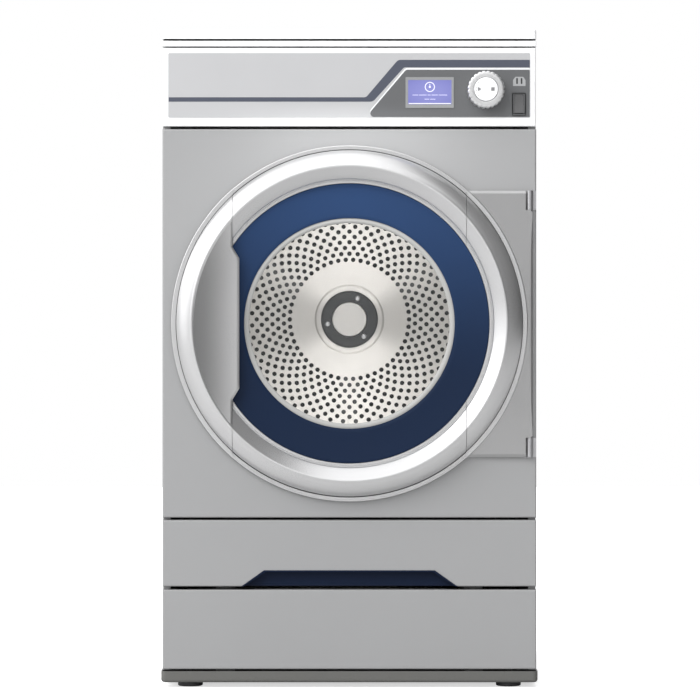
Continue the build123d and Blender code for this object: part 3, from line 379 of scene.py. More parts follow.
def printedInk(name, colour, roughness=0.42):
    material, bench, place = startFinish(name)
    grain = bench.noise(place, 1800.0, 1.0)
    cloud = bench.noise(place, 12.0, 2.0)
    return endFinish(material, bench, {
        "Base Color": bench.mixColour(cloud * 0.6 + grain * 0.4, *shadesOf(colour, 0.95, 1.05)),
        "Roughness": roughness + grain * 0.06,
        "Normal": bumpOf(bench, grain, 0.000008),
    })


def glowingInk(name, darkest, lightest):
    material, bench, place = startFinish(name)
    return endFinish(material, bench, {
        "Base Color": grey(0.5),
        "Emission Color": bench.mixColour(bench.noise(place, 900.0, 1.0), darkest, lightest),
        "Emission Strength": 1.0,
    })


def hubAlloy(name):
    # satin turned face at the front of the hub; behind it the casting is near-black as painted shade, where it lies
    # behind the drum's back
    material, bench, place = startFinish(name)
    radius, y, z = aroundDrum(bench, place)
    turned = bench.noise(bench.node("ShaderNodeCombineXYZ", {"X": radius * 2600.0}), 1.0, 1.0)
    sand = bench.noise(place, 900.0, 3.0, 0.7)
    face = bench.ease(y, 0.2405, 0.2435, 1.0, 0.0) * bench.ease(radius, 0.040, 0.050, 1.0, 0.0)
    satin = bench.mixColour(turned, (0.56, 0.545, 0.52, 1), (0.68, 0.66, 0.63, 1))
    return endFinish(material, bench, {
        # near-black behind the turned face: painted shade
        "Base Color": bench.mixColour(face, bench.mixColour(sand, grey(0.05), grey(0.10)), satin),
        "Roughness": 0.46 - face * 0.12 + sand * 0.08,
        "Metallic": 0.4 + face * 0.4,
        "Normal": bumpOf(bench, sand, 0.00008),
    })


def woolFelt(name):
    material, bench, place = startFinish(name)
    fibre = bench.noise(place, 700.0, 5.0, 0.8)
    return endFinish(material, bench, {
        "Base Color": bench.mixColour(fibre, grey(0.16), (0.30, 0.28, 0.25, 1)),
        "Roughness": 0.95,
        "Normal": bumpOf(bench, fibre, 0.0006),
    })


screenLow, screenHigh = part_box("display_screen")
finishes = {
    "white_enamel": enamel("whiteEnamel", (0.88, 0.885, 0.89), 0.33, 0.0, 0.25, 0.00003),
    "grey_enamel": enamel("greyEnamel", (0.355, 0.357, 0.36), 0.38, 0.25, 0.10, 0.00004),
    "galvanised": galvanisedSheet("galvanisedSheet"),
    "base_enamel": enamel("baseEnamel", (0.13, 0.13, 0.122), 0.40, 0.1, 0.1, 0.00004),
    "stainless": brushedSteel("brushedStainless", (0.66, 0.65, 0.63), 0.28, 1, 0.00002),
    "drum_steel": turnedSteel("turnedDrumSteel", (0.95, 0.92, 0.875), 0.46),
    "ring_plastic": silverMoulding("silverMoulding"),
    # blue trim with painted shade towards the bottom of the door
    "blue_enamel": blueMoulding("blueTrim", (0.003, 0.014, 0.045, 1), (0.017, 0.047, 0.128, 1),
                                doorZ - 0.1, doorZ + 0.2),
    "grip_blue": mouldedPlastic("blueGrip", (0.006, 0.012, 0.032), 0.45, 1500.0, 0.00002, 0.12),
    "overlay_film": printedInk("overlayFilm", (0.46, 0.462, 0.47), 0.38),
    "plate_grey": printedInk("controlGrey", (0.115, 0.118, 0.122), 0.40),
    "screen_glass": litScreen("litScreen", screenLow, screenHigh),
    "board": mouldedPlastic("circuitBoard", (0.02, 0.12, 0.05), 0.4, 400.0, 0.00002),
    "knob_silver": brushedSteel("knobSatin", (0.93, 0.93, 0.93), 0.36, 0, 0.000008),
    "black_plastic": mouldedPlastic("blackPlastic", (0.045, 0.045, 0.047), 0.40, 1700.0, 0.00003),
    "dark_metal": enamel("darkEnamel", (0.022, 0.022, 0.023), 0.36, 0.0, 0.0, 0.00003),
    "zinc": brushedSteel("zincPlate", (0.60, 0.60, 0.61), 0.34, 2, 0.000008),
    "seal_rubber": mouldedPlastic("blackRubber", (0.02, 0.02, 0.02), 0.68, 600.0, 0.00004),
    "grey_rubber": mouldedPlastic("greyRubber", (0.38, 0.38, 0.37), 0.55, 700.0, 0.00003),
    "felt": woolFelt("woolFelt"),
    "clear_glass": clearGlass("clearGlass"),
    "roller_rubber": mouldedPlastic("rollerRubber", (0.03, 0.03, 0.03), 0.72, 500.0, 0.00005),
    "cast_alloy": hubAlloy("hubAlloy"),
    "fan_plastic": mouldedPlastic("fanPlastic", (0.06, 0.06, 0.065), 0.5, 800.0, 0.00003),
    "mesh_steel": brushedSteel("meshSteel", (0.46, 0.46, 0.45), 0.42, 0, 0.00003),
}
inks = {
    "glowWhite": glowingInk("screenInk", (0.48, 0.48, 0.78, 1), (0.56, 0.56, 0.84, 1)),
    "bandBlueGrey": printedInk("bandInk", (0.068, 0.076, 0.104)),
    "inkWhite": printedInk("whiteInk", (0.82, 0.83, 0.84)),
    "signGrey": printedInk("signInk", (0.36, 0.365, 0.37)),
    "rockerGrey": mouldedPlastic("rockerGrey", (0.095, 0.095, 0.097), 0.36, 1500.0, 0.00001),
    "symbolDark": printedInk("symbolDark", (0.030, 0.030, 0.031)),
    "inkGrey": printedInk("greyInk", (0.22, 0.22, 0.225)),
    "frameGrey": mouldedPlastic("displayFrameGrey", (0.27, 0.275, 0.28), 0.36, 1500.0, 0.00001),
}

# near-black heater housing behind the drum: painted shade for the hollow seen through the drum's holes
heaterShadeSteel = enamel("heaterSteelPaintedShade", (0.055, 0.050, 0.045), 0.6, 0.5, 0.0, 0.00006)
ownFinish = {"heater_housing": heaterShadeSteel, "rocker": inks["rockerGrey"]}
for part in frame["record"]["subparts"]:
    for materialSlot in nodesByName[part["node"]].material_slots:
        materialSlot.material = ownFinish.get(part["node"], finishes[part["material_slot"]])
print("finishes made and given to the CAD nodes")


def addFloor():
    size = studio["floorSize"] / 2
    mesh = bpy.data.meshes.new("studioFloor")
    mesh.from_pydata([(x * size, y * size, 0) for x, y in ((-1, -1), (1, -1), (1, 1), (-1, 1))], [], [(0, 1, 2, 3)])
    floor = linkObject("studioFloor", mesh)
    material, bench, place = startFinish("paleFloor")
    cloud = bench.noise(place, 1.2, 2.0)
    seen = bench.node("ShaderNodeLightPath", out="Is Camera Ray")
    shade = bench.mixColour(cloud, grey(0.86), studio["floorColour"])
    mesh.materials.append(endFinish(material, bench, {
        "Base Color": bench.mixColour(seen, grey(studio["floorBounce"]), shade),
        "Roughness": 0.6,
        "Emission Color": bench.mixColour(seen, grey(0.0), grey(studio["floorGlow"])),
        "Emission Strength": 1.0,
    }))


sky = {                         # brightness of the surroundings in reflections
    "left": 1.2,
    "leftBehind": 0.6,          # share of it that is left behind the dryer
    "middle": 0.30,
    "right": 0.4,
    "eyeSide": 0.26,            # round the camera
    "top": 1.05,
    "topRight": 0.08,           # share of it that is left at the right
}


def addWorld():
    # white for the eye; for reflections bright to the left and above, shaded to the right and behind
    world = bpy.data.worlds.new("studioWorld")
    bpy.context.scene.world = world
    world.use_nodes = True
    world.node_tree.nodes.clear()
    bench = NodeBench(world.node_tree)
    direction = bench.node("ShaderNodeTexCoord", out="Generated")
    x, y, z = bench.axes(direction)
    leftward = bench.ease(x, -0.92, -0.30, sky["left"], sky["middle"])
    leftward = leftward * bench.ease(y, -0.15, 0.25, 1.0, sky["leftBehind"])
    rightward = bench.ease(x, 0.0, 0.5, 1.0, sky["right"])
    ahead = bench.ease(y, -0.995, -0.94, sky["eyeSide"], 0.0)
    upward = bench.ease(z, 0.0, 0.4, 0.0, sky["top"]) * bench.ease(x, 0.15, 0.5, 1.0, sky["topRight"])
    shade = leftward * rightward + ahead + upward
    lit = bench.node("ShaderNodeCombineColor", {"Red": shade, "Green": shade, "Blue": shade * 1.01})
    seen = bench.node("ShaderNodeLightPath", out="Is Camera Ray")
    colour = bench.mixColour(seen, lit, grey(1.0))
    background = bench.node("ShaderNodeBackground", {"Color": colour, "Strength": 1.0})
    bench.node("ShaderNodeOutputWorld", {"Surface": background}, out=None)


addFloor()
addWorld()
bpy.context.scene.view_settings.view_transform = "Standard"
print("studio ready")


# mesh helpers

def linkPiece(name, mesh, slotName, body, material=None, smoothBelow=35):
    mesh.materials.clear()
    mesh.materials.append(material or finishes[slotName])
    mesh.polygons.foreach_set("use_smooth", [True] * len(mesh.polygons))
    mesh.set_sharp_from_angle(angle=math.radians(smoothBelow))
    piece = linkObject(name, mesh)
    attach(piece, body)
    return piece


def meshFrom(name, work):
    mesh = bpy.data.meshes.new(name)
    work.to_mesh(mesh)
    work.free()
    return mesh


def meshOf(name, points, faces):
    mesh = bpy.data.meshes.new(name)
    mesh.from_pydata([tuple(p) for p in points], [], faces)
    work = bmesh.new()
    work.from_mesh(mesh)
    bmesh.ops.remove_doubles(work, verts=work.verts, dist=1e-6)
    bmesh.ops.recalc_face_normals(work, faces=work.faces)
    work.to_mesh(mesh)
    work.free()
    return mesh


def bakedMesh(holder):
    # plain mesh of an object with its modifiers worked in; the object itself goes
    depsgraph = bpy.context.evaluated_depsgraph_get()
    mesh = bpy.data.meshes.new_from_object(holder.evaluated_get(depsgraph), depsgraph=depsgraph)
    holder.modifiers.clear()
    bpy.data.objects.remove(holder)
    return mesh


def arcThrough(first, middle, last, count):
    # points of the circle through three (a, b) places, both ends included
    ax, ay = first
    bx, by = middle
    cx, cy = last
    d = 2 * (ax * (by - cy) + bx * (cy - ay) + cx * (ay - by))
    sa, sb, sc = ax * ax + ay * ay, bx * bx + by * by, cx * cx + cy * cy
    ux = (sa * (by - cy) + sb * (cy - ay) + sc * (ay - by)) / d
    uy = (sa * (cx - bx) + sb * (ax - cx) + sc * (bx - ax)) / d
    radius = math.hypot(ax - ux, ay - uy)
    start, mid, end = (math.atan2(py - uy, px - ux) for px, py in (first, middle, last))
    turn = (end - start) % (2 * math.pi)
    if (mid - start) % (2 * math.pi) > turn:
        turn -= 2 * math.pi
    steps = [start + turn * i / (count - 1) for i in range(count)]
    return [(ux + radius * math.cos(a), uy + radius * math.sin(a)) for a in steps]


def section(baseY, *items):
    # (radius, y) outline given in millimetres, y counted rearwards from baseY
    # an item is one corner, or three places and a count for the arc through them
    outline = []
    for item in items:
        places = [(radius * mm, baseY + y * mm) for radius, y in (item[:3] if len(item) == 4 else [item])]
        outline += arcThrough(*places, item[3]) if len(item) == 4 else places
    return outline


def turnedMesh(name, outline, centre, steps, startOf=None, endOf=None):
    # turns a closed (radius, y) outline; the ends may lean so that they lie in one flat plane
    points, faces = [], []
    count = len(outline)
    whole = startOf is None
    rings = steps if whole else steps + 1
    for step in range(rings):
        for radius, y in outline:
            start, end = (0, 2 * math.pi) if whole else (startOf(radius), endOf(radius))
            angle = start + (end - start) * step / steps
            points.append((centre[0] + radius * math.cos(angle), y, centre[1] + radius * math.sin(angle)))
    for step in range(steps):
        near, far = step * count, ((step + 1) % rings) * count
        for i in range(count):
            j = (i + 1) % count
            faces.append((near + i, near + j, far + j, far + i))
    if not whole:
        faces.append(tuple(range(count)))
        faces.append(tuple(range(steps * count, steps * count + count)))
    return meshOf(name, points, faces)


def linkTurned(name, outline, centre, steps, slotName, body, material=None):
    return linkPiece(name, turnedMesh(name, outline, centre, steps), slotName, body, material)


def shellMesh(name, front, back, width, closeEnds=True):
    # joins two layers of points, laid out in rows of the given width, into one thin shell
    total, lastRow, faces = len(front), len(front) // width - 1, []
    for row in range(lastRow):
        for a in range(row * width, row * width + width - 1):
            faces.append((a, a + 1, a + width + 1, a + width))
            faces.append((total + a, total + a + width, total + a + width + 1, total + a + 1))
        for a in (row * width, row * width + width - 1):
            faces.append((a, a + width, total + a + width, total + a))
    for row in (0, lastRow) if closeEnds else ():
        for a in range(row * width, row * width + width - 1):
            faces.append((a, a + 1, total + a + 1, total + a))
    return meshOf(name, front + back, faces)


def thickened(outline, backY, frontFaceY):
    # work mesh of a flat outline of (x, z) points, given thickness towards the front
    work = bmesh.new()
    face = work.faces.new([work.verts.new((x, backY, z)) for x, z in outline])
    raised = bmesh.ops.extrude_face_region(work, geom=[face])
    moved = [v for v in raised["geom"] if isinstance(v, bmesh.types.BMVert)]
    bmesh.ops.translate(work, verts=moved, vec=(0, frontFaceY - backY, 0))
    bmesh.ops.recalc_face_normals(work, faces=work.faces)
    return work


def prismMesh(name, outline, backY, frontFaceY):
    return meshFrom(name, thickened(outline, backY, frontFaceY))


def roundedOutline(lowX, lowZ, highX, highZ, radius, steps=6):
    corners = [(highX - radius, highZ - radius, 0), (lowX + radius, highZ - radius, 90),
               (lowX + radius, lowZ + radius, 180), (highX - radius, lowZ + radius, 270)]
    points = []
    for x, z, turn in corners:
        for step in range(steps + 1):
            angle = math.radians(turn + 90 * step / steps)
            points.append((x + radius * math.cos(angle), z + radius * math.sin(angle)))
    return points


def outlineRound(box, radius, left, down, right, up, steps=6):
    # rounded outline of a box, grown by millimetres at each side
    low, high = box
    return roundedOutline(low[0] - left * mm, low[2] - down * mm, high[0] + right * mm, high[2] + up * mm,
                          radius * mm, steps)


def circleOutline(x, z, radius, steps=40):
    return [(x + radius * math.cos(2 * math.pi * i / steps), z + radius * math.sin(2 * math.pi * i / steps))
            for i in range(steps)]


def frameMesh(name, outer, inner, backY, frontFaceY):
    # ring between two outlines with the same number of points
    count = len(outer)
    points = [(x, y, z) for y in (backY, frontFaceY) for x, z in outer + inner]
    faces = []
    for i in range(count):
        j = (i + 1) % count
        for near, far in ((2, 3), (0, 1), (0, 2), (1, 3)):
            faces.append((near * count + i, near * count + j, far * count + j, far * count + i))
    return meshOf(name, points, faces)


def joinMeshes(name, meshes):
    work = bmesh.new()
    for mesh in meshes:
        work.from_mesh(mesh)
    return meshFrom(name, work)


# door ring, handle and flange

ring = {
    "flangeRadius": 283.0 * mm,
    "wallRadius": 274.2 * mm,   # outside of the raised ring, inside the groove
    "joint": 185.0 * mm,
    "gap": 0.35 * mm,
    "discDepth": 8.0 * mm,      # how far the back plate's face stands in front of the panel
    "flangeDepth": 12.0 * mm,
    "floorDepth": 21.5 * mm,    # inner foot of the bevel
    "steps": 120,
    "wholeSteps": 256,          # for what runs all the way round the door
}
centre = (doorX, doorZ)
rim, wall, disc, face, floor = (ring[key] / mm for key in
                                ("flangeRadius", "wallRadius", "discDepth", "flangeDepth", "floorDepth"))


def ringOutline(skirt):
    # section from the outer foot over the crest to the inner foot, then back inside the wall
    if skirt:
        foot = [(271, -disc), (271, -face - 0.1), (rim, -face - 0.1),
                ((rim, -face - 0.9), (rim - 0.6, -face - 1.8), (rim - 1.6, -face - 2.0), 5),
                (wall + 1.7, -face - 2.0), (wall + 1.4, -face - 1.6), (wall + 1.4, -face + 1.6), (wall, -face + 1.6)]
    else:
        foot = [(wall, -disc)]
    return section(
        frontY, *foot, ((wall, -26.0), (264.9, -37.2), (251.8, -43.9), 24),
        ((250.4, -44.75), (248.4, -44.95), (246.4, -43.9), 7), (245.0, -42.9), (237.0, -36.9), (229.4, -31.2),
        (228.5, -30.2), (228.3, -29.0), (228.0, -floor), (227.2, -floor), (226.8, -floor + 0.9),
        (226.0, -floor + 0.9), (225.6, -floor), (222.3, -floor), (222.3, -disc), (224.8, -disc),
        (224.8, -floor + 2.4), (230.6, -floor + 2.4), (230.6, -28.6), (247.5, -41), (250, -41), (268, -27),
        (268, -disc))


def linkRingPart(name, skirt, start, end):
    # start and end are (turn, sign) of the angle at which the joint's plane cuts each radius
    jointX = ring["joint"] + (ring["gap"] if skirt else -ring["gap"])
    mesh = turnedMesh(name, ringOutline(skirt), centre, ring["steps"],
                      lambda r: start[0] + start[1] * math.acos(jointX / r),
                      lambda r: end[0] + end[1] * math.acos(jointX / r))
    return linkPiece(name, mesh, "ring_plastic", "door")


ringUpper = linkRingPart("ringUpper", False, (0, 1), (math.pi, -1))
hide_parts("door_ring")
linkRingPart("ringLower", False, (math.pi, 1), (2 * math.pi, -1))
linkRingPart("ringHingeSide", True, (0, -1), (0, 1))

handle = {
    "rimRadius": 246.2 * mm,
    "freeEdge": 174.0 * mm,
    "straight": 103.0 * mm,
    "corner": 121.0 * mm,
    "frontDepth": 43.6 * mm,
    "dish": 7.5 * mm,           # how far the grip sinks behind the crest
    "reach": 82.0 * mm,         # over which it sinks
    "roll": 3.0 * mm,           # rounding of the free edge
    "rollDepth": 0.9 * mm,
    "thickness": 2.4 * mm,
    "rows": 96,
    "columns": 26,
}


def gripEdgeX(height):
    # x of the grip's free edge at a height above the door's centre
    height = abs(height)
    if height <= handle["straight"]:
        return -handle["freeEdge"]
    if height >= handle["corner"]:
        return -ring["joint"]
    share = (height - handle["straight"]) / (handle["corner"] - handle["straight"])
    return -handle["freeEdge"] + share * (handle["freeEdge"] - ring["joint"])


def gripMesh():
    # scooped plate between the ring's crest and the free edge, thick and rounded at the free edge
    rimRadius, rows, columns = handle["rimRadius"], handle["rows"], handle["columns"]
    span = math.sqrt(rimRadius**2 - ring["joint"] ** 2)
    heights = [-span * math.cos(math.pi * i / rows) for i in range(rows + 1)]
    heights += [s * handle[key] for s in (-1, 1) for key in ("straight", "corner")]
    front, back = [], []
    for height in sorted(heights):
        outerX = -math.sqrt(max(rimRadius**2 - height**2, 0))
        innerX = gripEdgeX(height)
        for column in range(columns + 1):
            x = outerX + (innerX - outerX) * column / columns
            inward = min(max((rimRadius - math.hypot(x, height)) / handle["reach"], 0), 1)
            roll = max(1 - (innerX - x) / handle["roll"], 0)
            y = frontY - handle["frontDepth"] + (1 - (1 - inward) ** 2) * handle["dish"]
            y += roll**2 * handle["rollDepth"]
            front.append((doorX + x, y, doorZ + height))
            back.append((doorX + x, y + handle["thickness"] * (1 - 0.35 * roll), doorZ + height))
    return shellMesh("gripPlate", front, back, columns + 1)


# grip silver with painted shade: dark by the ring's crest, pale towards the free edge
gripSilverShaded = silverMoulding("gripSilverShaded", 0.30, 0.72, (-0.235, -0.16))
handleRing = linkRingPart("handleRing", True, (math.pi, -1), (math.pi, 1))
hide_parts("door_handle")
# near-black ring in the groove round the door: painted shadow of the groove
grooveShadowOutline = section(frontY, (wall - 0.3, -face + 0.8), (wall - 0.3, -face - 0.7), (wall + 1.7, -face - 0.7),
                        (wall + 1.7, -face + 0.8))
linkTurned("grooveShadowRing", grooveShadowOutline, centre, ring["wholeSteps"], "ring_plastic", "door", inks["symbolDark"])
linkPiece("gripPlate", gripMesh(), "ring_plastic", "door", gripSilverShaded, smoothBelow=50)

flangeOutline = section(
    frontY, (178, -disc), (276, -disc), (276, -face + 0.4), (276.5, -face), (279.4, -face), (279.7, -face + 0.6),
    (280.4, -face + 0.6), (280.7, -face), ((rim - 1.6, -face), (rim - 0.5, -face + 0.5), (rim, -face + 1.6), 6),
    (rim, -6), (178, -6))
flange = linkTurned("doorFlange", flangeOutline, centre, ring["wholeSteps"], "ring_plastic", "door")
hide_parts("door_back")
print("door ring and handle made")


# window: trim, gasket and glass

trimOutline = section(
    frontY, (221.8, -disc), (221.8, -18.4), ((221.5, -18.9), (219.8, -19), (215.8, -18.6), 4),
    ((175, -14.8), (170, -14.2), (167.4, -13.2), 5), (167, -11.6), (219.2, -16.2), (219.2, -disc))
trim = linkTurned("windowTrim", trimOutline, centre, ring["wholeSteps"], "blue_enamel", "door")
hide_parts("window_trim")

# rubber lip with a rounded front bead, wrapped round the glass edge
gasketOutline = section(
    frontY, (178, -3.6), (178, -11.2), ((167, -11.3), (162.5, -11.8), (159, -9.6), 9), (160, -9.4),
    (174.9, -9.4), (174.9, -5.4), (160, -5.4), (161, -3.6))
gasket = linkTurned("windowGasket", gasketOutline, centre, 192, "grey_rubber", "door")
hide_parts("window_gasket")

# flat disc in fine rings, closed at its rim
paneRadii = [174.6 * i / 14 for i in range(15)]
paneOutline = section(frontY, *[(radius, -9.3) for radius in paneRadii], *[(radius, -5.5) for radius in paneRadii[::-1]])
pane = linkTurned("windowPane", paneOutline, centre, 128, "clear_glass", "door")
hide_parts("door_glass")
print("window made")


# hinge plate

hinge = {
    "thickness": 7.4 * mm,
    "chamfer": 4.6 * mm,
    "drop": 3.4 * mm,           # how far the chamfer falls back
    "notch": 31.0 * mm,
    "notchWide": 11.0 * mm,
    "boreDepth": 41.0 * mm,     # holes for the two pins, beyond the notches
    "boreRadius": 2.7 * mm,
    "edgeRadius": 2.6 * mm,
    "doorGap": 0.3 * mm,
    "arcSteps": 64,
}


def boredMesh(mesh, bores, radius):
    # drills upright round holes, each given as (x, y, lowZ, highZ)
    work = bmesh.new()
    for x, y, lowZ, highZ in bores:
        bmesh.ops.create_cone(work, cap_ends=True, segments=24, radius1=radius, radius2=radius,
                              depth=highZ - lowZ, matrix=Matrix.Translation((x, y, (lowZ + highZ) / 2)))
    drill, holder = linkObject("drill", meshFrom("drill", work)), linkObject("drilled", mesh)
    cut = holder.modifiers.new("bores", "BOOLEAN")
    cut.operation, cut.object, cut.solver = "DIFFERENCE", drill, "EXACT"
    bored = bakedMesh(holder)
    bpy.data.objects.remove(drill)
    return bored


def hingePlateMesh():
    # flat plate with sloped upper and lower edges, cut round the door and at both knuckles
    low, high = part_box("hinge_plate")
    rightX, lowZ, highZ = high[0], low[2], high[2]
    faceY, notch = low[1], hinge["notch"]
    reach = ring["flangeRadius"] + hinge["doorGap"]
    start, end = math.asin((highZ - doorZ) / reach), math.asin((lowZ - doorZ) / reach)
    arc = [start + (end - start) * i / hinge["arcSteps"] for i in range(hinge["arcSteps"] + 1)]
    outline = [(doorX + reach * math.cos(a), doorZ + reach * math.sin(a)) for a in arc]
    notchX = rightX - hinge["notchWide"]
    outline += [(notchX, lowZ), (notchX, lowZ + notch), (rightX, lowZ + notch),
                (rightX, highZ - notch), (notchX, highZ - notch), (notchX, highZ)]
    work = thickened(outline, faceY + hinge["thickness"], faceY)
    # slope the long upper and lower edges
    for z, inward in ((highZ, -1), (lowZ, 1)):
        bmesh.ops.bisect_plane(work, geom=work.verts[:] + work.edges[:] + work.faces[:],
                               plane_co=(0, 0, z + inward * hinge["chamfer"]), plane_no=(0, 0, 1))
        for vert in work.verts:
            if abs(vert.co.z - z) < 1e-6 and abs(vert.co.y - faceY) < 1e-6:
                vert.co.y += hinge["drop"]
    bmesh.ops.triangulate(work, faces=[f for f in work.faces if len(f.verts) > 4])
    edges = [e for e in work.edges
             if all(abs(v.co.x - rightX) < 1e-6 and abs(v.co.y - faceY) < 1e-6 for v in e.verts)]
    bmesh.ops.bevel(work, geom=edges, offset=hinge["edgeRadius"], segments=5, profile=0.5, affect="EDGES")
    pinLow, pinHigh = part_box("hinge_pins")
    pinX, pinY = (pinLow[0] + pinHigh[0]) / 2, (pinLow[1] + pinHigh[1]) / 2
    inner, outer = notch + hinge["boreDepth"], notch - 2 * mm
    return boredMesh(meshFrom("hingePlate", work), [(pinX, pinY, lowZ + outer, lowZ + inner),
                                                    (pinX, pinY, highZ - inner, highZ - outer)], hinge["boreRadius"])


# a darker copy of the door's silver: painted shade on the hinge plate
hingeSilverShaded = silverMoulding("hingeSilverShaded", 0.44, 0.54)
plate = linkPiece("hingePlate", hingePlateMesh(), "ring_plastic", "door", hingeSilverShaded, smoothBelow=25)
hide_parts("hinge_plate")
print("hinge plate made")


# fascia: band, line, display frame, signs

fascia = {                      # corners are (x, z) in millimetres
    "bandLeft": -287.6,
    "bandRight": 287.1,
    "upperCorners": [(26.5, 939.9), (77.4, 999.5)],     # where the band's upper edge turns
    "lowerCorners": [(86.9, 987.4), (37.6, 932.9)],
    "bandRadii": (0, 7, 9, 0, 0, 5, 10, 0),
    "lineFoot": (24.0, 908.4),                          # pale edge round the control plate
    "lineHead": (89.4, 986.3),
    "lineInner": [(32.5, 911.5), (93.0, 981.0), (284.0, 981.0), (284.0, 911.5)],
    "lineRadii": (8, 7, 0, 0),
    "inkDepth": 0.12 * mm,
    "bezelDepth": 2.0 * mm,     # how far the switch housing stands in front of the plate
}
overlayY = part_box("control_overlay")[0][1]
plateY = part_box("rocker_housing")[0][1] + fascia["bezelDepth"]
inkY = overlayY - fascia["inkDepth"]


def easedCorners(corners, radii, steps=8):
    # outline in metres from corners in millimetres, each eased by its radius (0 keeps it sharp)
    outline = [Vector((x * mm, z * mm)) for x, z in corners]
    eased = []
    for i, (corner, radius) in enumerate(zip(outline, radii)):
        if not radius:
            eased.append(tuple(corner))
            continue
        back = (outline[i - 1] - corner).normalized()
        ahead = (outline[(i + 1) % len(outline)] - corner).normalized()
        half, radius = back.angle(ahead) / 2, radius * mm
        middle = corner + (back + ahead).normalized() * (radius / math.sin(half))
        nearest = middle + (corner - middle).normalized() * radius
        reach = radius / math.tan(half)
        eased += arcThrough(tuple(corner + back * reach), tuple(nearest), tuple(corner + ahead * reach), steps)
    return eased


left, right = fascia["bandLeft"], fascia["bandRight"]
upper, lower = fascia["upperCorners"], fascia["lowerCorners"]
bandCorners = [(left, upper[0][1]), *upper, (right, upper[1][1]), (right, lower[0][1]), *lower, (left, lower[1][1])]
band = prismMesh("fasciaBand", easedCorners(bandCorners, fascia["bandRadii"]), overlayY, inkY)
linkPiece("fasciaBand", band, "overlay_film", "cabinet", inks["bandBlueGrey"])
foot, head = fascia["lineFoot"], fascia["lineHead"]
lineOuter = easedCorners([foot, head, (right, head[1]), (right, foot[1])], fascia["lineRadii"])
lineInner = easedCorners(fascia["lineInner"], fascia["lineRadii"])
linkPiece("plateEdge", frameMesh("plateEdge", lineOuter, lineInner, overlayY, inkY),
          "overlay_film", "cabinet", inks["inkWhite"])

screenBox = (screenLow, screenHigh)
displayFrame = frameMesh("displayFrame", outlineRound(screenBox, 1.2, 4.0, 5.6, 3.6, 4.6),
                         outlineRound(screenBox, 0.8, -0.1, -0.1, -0.1, -0.1), plateY, plateY - 1.1 * mm)
linkPiece("displayFrame", displayFrame, "plate_grey", "cabinet", inks["frameGrey"])


def bar(x, z, width, height, backY):
    # small printed bar from its lower left corner, all in millimetres but backY
    low, high = (x * mm, z * mm), ((x + width) * mm, (z + height) * mm)
    return prismMesh("bar", roundedOutline(*low, *high, min(width, height) * 0.3 * mm, 3),
                     backY, backY - fascia["inkDepth"])


signs = {                       # on the display, in millimetres
    "dial": (128, 956.2),
    "dialOuter": 8.0,
    "dialInner": 6.7,
    "dialBoss": 1.6,
    "hand": (127.5, 956.2, 1.0, 4.6),
    "dashHeight": 0.7,
    "dashes": [(100.5, 943.0, 9), (110.8, 943.0, 12), (124.4, 943.0, 5), (130.8, 943.0, 10),
               (142.2, 943.0, 13.4), (119.6, 936.4, 7.4), (128.4, 936.4, 8.4)],
}


def screenSigns():
    # timer dial above two rows of dashes, and a pale strip at the foot
    glassY = screenLow[1]
    x, z = (value * mm for value in signs["dial"])
    outer, inner, boss = (circleOutline(x, z, signs[key] * mm, steps) for key, steps in
                          (("dialOuter", 40), ("dialInner", 40), ("dialBoss", 20)))
    parts = [frameMesh("dial", outer, inner, glassY, glassY - fascia["inkDepth"]),
             prismMesh("boss", boss, glassY, glassY - fascia["inkDepth"]), bar(*signs["hand"], glassY)]
    parts += [bar(lowX, lowZ, width, signs["dashHeight"], glassY) for lowX, lowZ, width in signs["dashes"]]
    parts.append(bar(screenLow[0] / mm + 1, screenLow[2] / mm + 0.8, (screenHigh[0] - screenLow[0]) / mm - 2, 1.2,
                     glassY))
    return joinMeshes("screenSigns", parts)


linkPiece("screenSigns", screenSigns(), "screen_glass", "cabinet", inks["glowWhite"])


def rockerFrames():
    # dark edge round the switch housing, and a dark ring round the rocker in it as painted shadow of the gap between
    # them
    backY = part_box("rocker_housing")[0][1]
    parts = []
    for node, outwards, inwards in (("rocker_housing", 0.0, -1.2), ("rocker", 1.7, 0.5)):
        outer, inner = (outlineRound(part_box(node), radius, *[growth] * 4, steps=4)
                        for growth, radius in ((outwards, 1.2), (inwards, 0.8)))
        parts.append(frameMesh("edge", outer, inner, backY, backY - 0.1 * mm))
    return joinMeshes("rockerFrames", parts)


linkPiece("rockerFrames", rockerFrames(), "plate_grey", "cabinet", inks["symbolDark"])

# cabinet with two dark door handles, above the rocker
guide = {
    "corners": [(260.4, 957.8), (280.2, 957.8), (280.2, 967.2), (276.6, 972.4), (264.0, 972.4), (260.4, 967.2)],
    "radii": (0.5, 0.5, 2, 2, 2, 2),
    "slots": [(265.4, 961, 2.6, 9.4), (272.6, 961, 2.6, 9.4)],
}
guideFaceY = plateY - fascia["inkDepth"]
guideSign = prismMesh("guideSign", easedCorners(guide["corners"], guide["radii"]), plateY, guideFaceY)
linkPiece("guideSign", guideSign, "plate_grey", "cabinet", inks["signGrey"])
guideSlots = joinMeshes("guideSlots", [bar(*slot, guideFaceY) for slot in guide["slots"]])
linkPiece("guideSlots", guideSlots, "plate_grey", "cabinet", inks["symbolDark"])


# knob and its button

